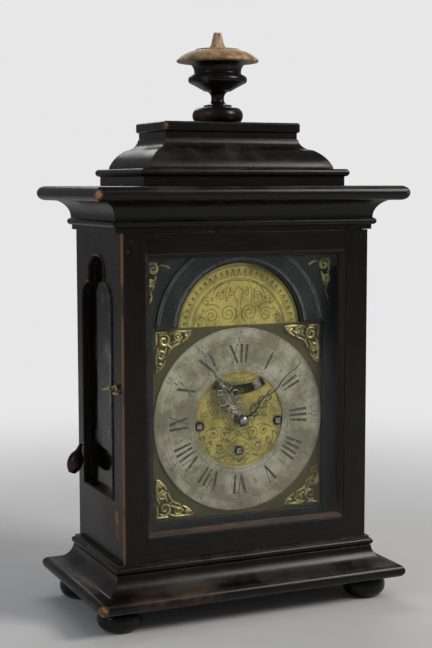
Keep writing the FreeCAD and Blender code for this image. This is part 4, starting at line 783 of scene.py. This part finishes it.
rims = strokes("centre_rims", [circle(43.3), circle(42.0)], 0.4, PLATE_FACE, CENTRE, 0.16, closed=True)
eyes = [circle(6.1, (x, z), 20) for x, z in ((39.2, -4.2), (-39.2, -4.2), (0.0, -29.1))]
eye_rims = strokes("winding_rims", eyes, 0.45, PLATE_FACE, CENTRE, 0.2, closed=True)
finish_piece(joined([centre_cut, rims, eye_rims]), "centre_engraving", brass_cut, "case", "engraved_brass")

# %% [markdown]
# ## The rise over the slot, and the arch
# Above the curved slot lies a lens of brass with a row of leaves. The arch holds two large volutes under a
# crest, with foliage at both sides, inside a border. The border has a plain running leaf.

# %% Scrolls of the arch
ARCH = (0.0, 255.0)
arch_side = [volute((10.5, 15.5), 9.0, 2.0, 200), volute((27, 14), 7.0, 1.7, 60, -1),
             volute((38, 9), 4.6, 1.4, 300), volute((18, 31), 5.0, 1.5, 120, -1),
             volute((32, 27), 4.4, 1.4, 320), volute((7.5, 33), 3.4, 1.3, 250)]
arch_side += [[(1, 26), (4, 29), (5, 34), (2.5, 38), (0, 40)], [(2, 5), (10, 4), (20, 3.5), (30, 3)],
              [(19, 20), (22, 24), (27, 26), (31, 23)], [(12, 26), (14, 33), (13, 39), (9, 43)],
              [(25, 33), (24, 38), (20, 42), (14, 44)], [(36, 16), (40, 16), (43, 12), (44, 6)],
              [(34, 2), (40, 2), (44, 2)], [(3, 10), (2, 15), (3, 22), (1, 26)]]
for step in range(8):
    x, z = on_clock(40, math.radians(12 + 9.5 * step))
    arch_side.append([(x, z), (x + 1.8, z - 1.4), (x + 1.2, z - 3.8), (x - 0.6, z - 2.2), (x, z)])
LEAF = ([(-2.0, -3.0), (-1.6, 1.0), (0.4, 3.2)], [(2.0, -3.0), (1.6, 1.0), (0.4, 3.2)],
        [(0.0, -3.2), (0.2, 0.0), (0.3, 2.4)])
leaves = [turned_to(line, 6.3 * step, 52.3) for step in range(-13, 14) for line in LEAF]
borders = [arc(58.6, -88, 88, count=40), arc(46.6, -86, 86, count=36), arc(45.2, -86, 86, count=36),
           [(-58, -2.5), (0, -2.5), (58, -2.5)], [(-58, 0.5), (0, 0.5), (58, 0.5)]]
arch_lines = arch_side + mirrored(arch_side) + leaves + borders
arch_cut = strokes("arch_scrolls", arch_lines, 0.72, PLATE_FACE, ARCH, 0.16)
finish_piece(arch_cut, "arch_engraving", brass_cut, "case", "engraved_brass")

VERGE = (0.0, 249.4)  # the slot is an arc about the pendulum's own axis
TIP = [(-1.5, 0.0), (-0.9, 2.0), (0.0, 2.6), (0.9, 2.0), (1.5, 0.0)]
tips = [turned_to(TIP, 180 + 3.6 * k, 41.0) for k in range(-6, 7)]
over_slot = [arc(radius, 180 - half_angle, 180 + half_angle, count=14)
             for radius, half_angle in ((42.6, 29), (38.2, 24))] + tips
lens_cut = strokes("lens_scrolls", over_slot, 0.4, PLATE_FACE, VERGE, 0.16)
slot_lines = [arc(radius, 180 - 31.5, 180 + 31.5, count=16) for radius in (43.4, 53.6)]
slot_edge = strokes("slot_edge", slot_lines, 0.4, PLATE_FACE, VERGE, 0.16)
finish_piece(joined([lens_cut, slot_edge]), "slot_engraving", brass_cut, "case", "engraved_brass")

# %% [markdown]
# ## Cast corners and mask mounts
# The corners of the dial hold pierced castings of scrolls and leaves. They are made as round bars that follow
# curves, thicker in the middle of each scroll, on one corner, which is mirrored to the other three. The cast
# bars stand proud, so they catch light on one side. They replace the plain solids.

# %% Corner castings
def corner_lines():
    """One corner, from its outer point at the origin inwards along -X and -Z."""
    return [volute((-9, -9), 6.2, 1.5, 45, -1), volute((-21, -6.5), 4.6, 1.5, 200),
            volute((-6.5, -21), 4.6, 1.5, 250, -1), volute((-30.5, -4.2), 2.6, 1.2, 30, -1),
            volute((-4.2, -30.5), 2.6, 1.2, 60),
            [(-14, -4), (-17, -1.8), (-23, -1.4), (-30, -1.2), (-36, -1.6)],
            [(-4, -14), (-1.8, -17), (-1.4, -23), (-1.2, -30), (-1.6, -36)],
            [(-13, -13), (-15.5, -15.5), (-17.0, -17.0)],
            [(-12, -15), (-9, -18), (-9.5, -23), (-6, -27)],
            [(-15, -12), (-18, -9), (-23, -9.5), (-27, -6)],
            [(-1.2, -1.2), (-5, -2), (-9, -1.4), (-12, -1.6)],
            [(-1.2, -1.2), (-2, -5), (-1.4, -9), (-1.6, -12)],
            [(-36, -1.6), (-34, -5.5), (-30, -8.5), (-26, -10.5)],
            [(-1.6, -36), (-5.5, -34), (-8.5, -30), (-10.5, -26)],
            [(-16, -16), (-13, -17.5), (-13.5, -21), (-11.5, -24)],
            [(-16, -16), (-17.5, -13), (-21, -13.5), (-24, -11.5)]]


def swelling(share):
    return 0.55 + 0.75 * math.sin(math.pi * min(max(share, 0.0), 1.0))


CORNER_X, CORNER_TOP, CORNER_FOOT = 82.1, 257.8, 89.0
CAST_THICK, CAST_MIDDLE = 2.4, PLATE_FACE - 0.7
corners = []
for sign_x in (1, -1):
    for z_edge, sign_z in ((CORNER_TOP, 1), (CORNER_FOOT, -1)):
        lines = [[(sign_x * x, sign_z * z) for x, z in line] for line in corner_lines()]
        outer_point = (sign_x * CORNER_X, z_edge)
        corners.append(strokes("corner", lines, CAST_THICK, CAST_MIDDLE, outer_point, 0.8, taper=swelling))
finish_piece(joined(corners), "corner_castings", cast_brass, "case", "engraved_brass", "corner_spandrels")

# %% Mounts on the mask
MOUNT_X, MOUNT_TOP, MOUNT_DEPTH = 90.5, 318.5, 17.6
mount_lines = [volute((-6, -6), 5.4, 1.4, 60, -1), volute((-3.5, -19), 4.2, 1.4, 260),
               [(-2, -12), (-1, -16), (-2, -24), (-5, -30)], [(-12, -3), (-16, -2), (-20, -3.5), (-22, -6)],
               [(-5, -30), (-3, -34), (-1.4, -38)], [(-9, -12), (-7, -16), (-7, -21), (-5, -25)],
               [(-1, -1), (-5, -0.6), (-10, -1)], [(-1, -1), (-0.6, -5), (-1, -12)]]
mounts = []
for sign in (1, -1):
    lines = [[(sign * x, z) for x, z in line] for line in mount_lines]
    mounts.append(strokes("mount", lines, CAST_THICK, MOUNT_DEPTH, (sign * MOUNT_X, MOUNT_TOP), 0.6,
                          taper=swelling))
finish_piece(joined(mounts), "mask_mounts", cast_brass, "case", "engraved_brass", "mask_scrolls")

# %% [markdown]
# ## Beads round the side windows
# A half-round bead frames each side window. Its path follows the window's outline: straight sides, a quarter
# round at each shoulder and a small arch on top. An arc through three points is worked out from the circle
# that passes through them, and the bar is made in the same way as the castings.

# %% Window beads
def through(first, middle, last, count=10):
    """Points on the arc that runs through three points."""
    (ax, ay), (bx, by), (cx, cy) = first, middle, last
    d = 2 * (ax * (by - cy) + bx * (cy - ay) + cx * (ay - by))
    a2, b2, c2 = ax * ax + ay * ay, bx * bx + by * by, cx * cx + cy * cy
    x = (a2 * (by - cy) + b2 * (cy - ay) + c2 * (ay - by)) / d
    y = (a2 * (cx - bx) + b2 * (ax - cx) + c2 * (bx - ax)) / d
    radius = math.hypot(ax - x, ay - y)
    start, end = (math.atan2(q - y, p - x) for p, q in (first, last))
    while end - start > math.pi:
        end -= 2 * math.pi
    while start - end > math.pi:
        end += 2 * math.pi
    return [(x + radius * math.cos(start + (end - start) * k / count),
             y + radius * math.sin(start + (end - start) * k / count)) for k in range(count + 1)]


REACH, LOBE = 39.0, 21.1  # half the window's width, below and in its narrow top
SILL, SHOULDER, CUSP, SPRING, TOP = 110.0, 283.0, 299.5, 309.5, 323.8
CASE_HALF, WINDOW_MIDDLE = 120, 64
shoulder_middle = (LOBE + (REACH - LOBE) * 0.72, SHOULDER + (CUSP - SHOULDER) * 0.72)
crown_middle = (LOBE * 0.72, SPRING + (TOP - SPRING) * 0.74)
half_line = [(0, SILL), (REACH, SILL), (REACH, SHOULDER)]
half_line += through((REACH, SHOULDER), shoulder_middle, (LOBE, CUSP))[1:]
half_line += [(LOBE, SPRING)] + through((LOBE, SPRING), crown_middle, (0, TOP))[1:]
outline = half_line + [(-x, z) for x, z in half_line[-2:0:-1]]
beads = []
for side in (-1, 1):
    bead = strokes("bead", [outline], 3.0, -DOOR_FACE, (0, 0), 0.8, closed=True, order=2)
    moved = Matrix.Translation(place(CASE_HALF * side, WINDOW_MIDDLE, 0))
    bead.data.transform(moved @ Matrix.Rotation(math.radians(90), 4, "Z"))
    beads.append(bead)
finish_piece(joined(beads), "side_window_beads", upright_wood, "case", "ebonised_wood")

# %% [markdown]
# ## Lines on the mask's band
# The raised band over the arch has two pairs of thin pale lines along its turned edges. They are flat
# strokes, like the engraving.

# %% Pale lines on the band
BAND_FACE = 16.5
band_lines = [arc(radius, -84, 84, count=36) for radius in (64.2, 65.6, 79.6, 81.4)]
band = strokes("band_lines", band_lines, 0.45, BAND_FACE, ARCH, 0.2)
# pale lines along the band's edges, broken by dark gaps from a noise
band_line_wax = wax("pale_band_lines", (0.20, 0.205, 0.21), (0.03, 0.032, 0.04), 0.50)
finish_piece(band, "band_rubbed_lines", band_line_wax, "case", "ebonised_wood")

# %% [markdown]
# ## The hands
# The hour hand is pierced and cut from one plate: scrolls at its root, a cross of loops, then a spear. The
# minute hand is a long wavering blade with scrolls near its root. Bars that follow curves are pressed to
# plate thickness, and a boss with a hole sits over each pipe. The hour hand stands at eleven and the minute
# hand a little past eight minutes.

# %% Hour hand
HOUR_TURN, MINUTE_TURN = -31.0, 49.4   # degrees from twelve
HOUR_DEPTH, MINUTE_DEPTH = 15.1, 12.0  # the middle of each plate


def boss(outer, inner, depth, thick):
    """A flat ring: a disc whose middle is inset, deleted and then given its thickness."""
    clear_selection()
    bpy.ops.mesh.primitive_circle_add(vertices=48, radius=outer * MM, fill_type="NGON", location=(0, 0, 0))
    piece = bpy.context.object
    bpy.ops.object.mode_set(mode="EDIT")
    bpy.ops.mesh.inset(thickness=(outer - inner) * MM, depth=0)
    bpy.ops.mesh.delete(type="FACE")
    bpy.ops.mesh.select_all(action="SELECT")
    bpy.ops.mesh.extrude_region_move(TRANSFORM_OT_translate={"value": (0, 0, thick * MM)})
    bpy.ops.mesh.select_all(action="SELECT")
    bpy.ops.mesh.normals_make_consistent(inside=False)
    bpy.ops.object.mode_set(mode="OBJECT")
    moved = Matrix.Translation(place(CENTRE[0], depth, CENTRE[1]))
    piece.data.transform(moved @ Matrix.Rotation(math.radians(-90), 4, "X"))
    return piece


def on_hand(lines, turn):
    return [turned_to(line, turn, 0.0) for line in lines]


hour_side = [
    [(0.8, 6), (1.2, 10), (3.4, 12.5), (6.2, 12.2), (7.2, 9.6), (5.4, 8.4), (4.2, 9.8)],
    [(0.8, 9), (1.0, 14), (4.6, 17.5), (7.2, 16.4), (7.0, 14.0), (5.6, 14.2)],
    [(0.4, 14), (3.2, 19), (4.6, 26), (3.4, 33), (0.4, 38)],
    [(4.2, 22), (8.2, 20.5), (11.0, 23.5), (10.0, 27.6), (6.6, 28.6), (4.4, 26.5)],
    [(3.6, 32), (6.6, 31.0), (8.6, 33.4), (7.2, 36.4), (4.4, 36.2), (2.6, 34.4)],
    [(0.6, 38), (2.2, 41), (2.0, 44), (0.3, 54)],
    [(0.5, 20), (1.6, 24), (0.4, 29)]]
hour_lines = hour_side + mirrored(hour_side) + [[(0, 5), (0, 20), (0, 40), (0, 54)]]
hour_bars = strokes("hour_bars", on_hand(hour_lines, HOUR_TURN), 1.15, HOUR_DEPTH, CENTRE, 0.85)
hour_hand = joined([hour_bars, boss(6.4, 4.05, HOUR_DEPTH - 0.5, 1.0)])
finish_piece(hour_hand, "pierced_hour_hand", worn_steel, "hour", "blued_steel", "hour_hand")

# %% Minute hand
BLADE_ROOT, BLADE_LENGTH = 4.5, 72.2
blade = []
for step in range(33):
    share = step / 32
    sway = 2.1 * math.sin(share * 15.0) * (1 - share) ** 0.6 * min(1.0, share * 6)
    blade.append((sway, BLADE_ROOT + BLADE_LENGTH * share))
root_lines = [[(0.8, 8), (4.2, 9.5), (6.0, 13.0), (4.4, 16.0), (1.8, 14.6), (2.8, 12.2)],
              [(-0.8, 10), (-4.6, 12.5), (-5.6, 17.0), (-3.2, 19.4), (-1.2, 17.2), (-2.8, 15.4)],
              [(0.8, 18), (4.6, 20.5), (5.6, 25.0), (3.2, 27.4), (1.2, 25.2), (2.8, 23.4)],
              [(-0.8, 20), (-4.2, 23.5), (-5.0, 27.5), (-2.8, 29.6), (-1.0, 27.6), (-2.4, 26.0)],
              [(0.6, 27), (3.6, 30), (4.2, 33.5), (2.0, 35.4), (0.8, 33.6)],
              [(-0.6, 31), (-3.0, 34), (-3.0, 37.6), (-1.0, 38.6)]]


def thinning(share):
    return 1.25 - 0.8 * share


minute_blade = strokes("minute_blade", on_hand([blade], MINUTE_TURN), 1.5, MINUTE_DEPTH, CENTRE, 0.6,
                       taper=thinning)
minute_scrolls = strokes("minute_scrolls", on_hand(root_lines, MINUTE_TURN), 1.15, MINUTE_DEPTH, CENTRE,
                         0.75)
minute_hand = joined([minute_blade, minute_scrolls, boss(5.0, 1.7, MINUTE_DEPTH - 0.4, 0.8)])
finish_piece(minute_hand, "wavering_minute_hand", blue_steel, "minute", "blued_steel", "minute_hand")

# %% [markdown]
# ## Pegs in the case
# The door's corners are pinned with wooden pegs whose ends stand a hair proud. Each end is shaped from a
# short cylinder with its rim rounded, which is then turned to face the front.

# %% Peg ends
def peg(location, turn):
    clear_selection()
    bpy.ops.mesh.primitive_cylinder_add(vertices=16, radius=1.6 * MM, depth=0.8 * MM)
    piece = bpy.context.object
    bpy.ops.object.mode_set(mode="EDIT")
    bpy.ops.mesh.select_all(action="SELECT")
    bpy.ops.mesh.bevel(offset=0.25 * MM, segments=2)
    bpy.ops.object.mode_set(mode="OBJECT")
    piece.data.transform(Matrix.Translation(location) @ turn)
    return piece


to_front = Matrix.Rotation(math.radians(90), 4, "X")
PEG_PLACES = ((-112, 337.5), (-114.5, 329.5), (-113.5, 66.5), (113, 337.5), (113, 66.5))
door_pegs = [peg(place(x, 0.1, z), to_front) for x, z in PEG_PLACES]
finish_piece(joined(door_pegs), "door_peg_ends", level_wood, "front_door", "ebonised_wood")
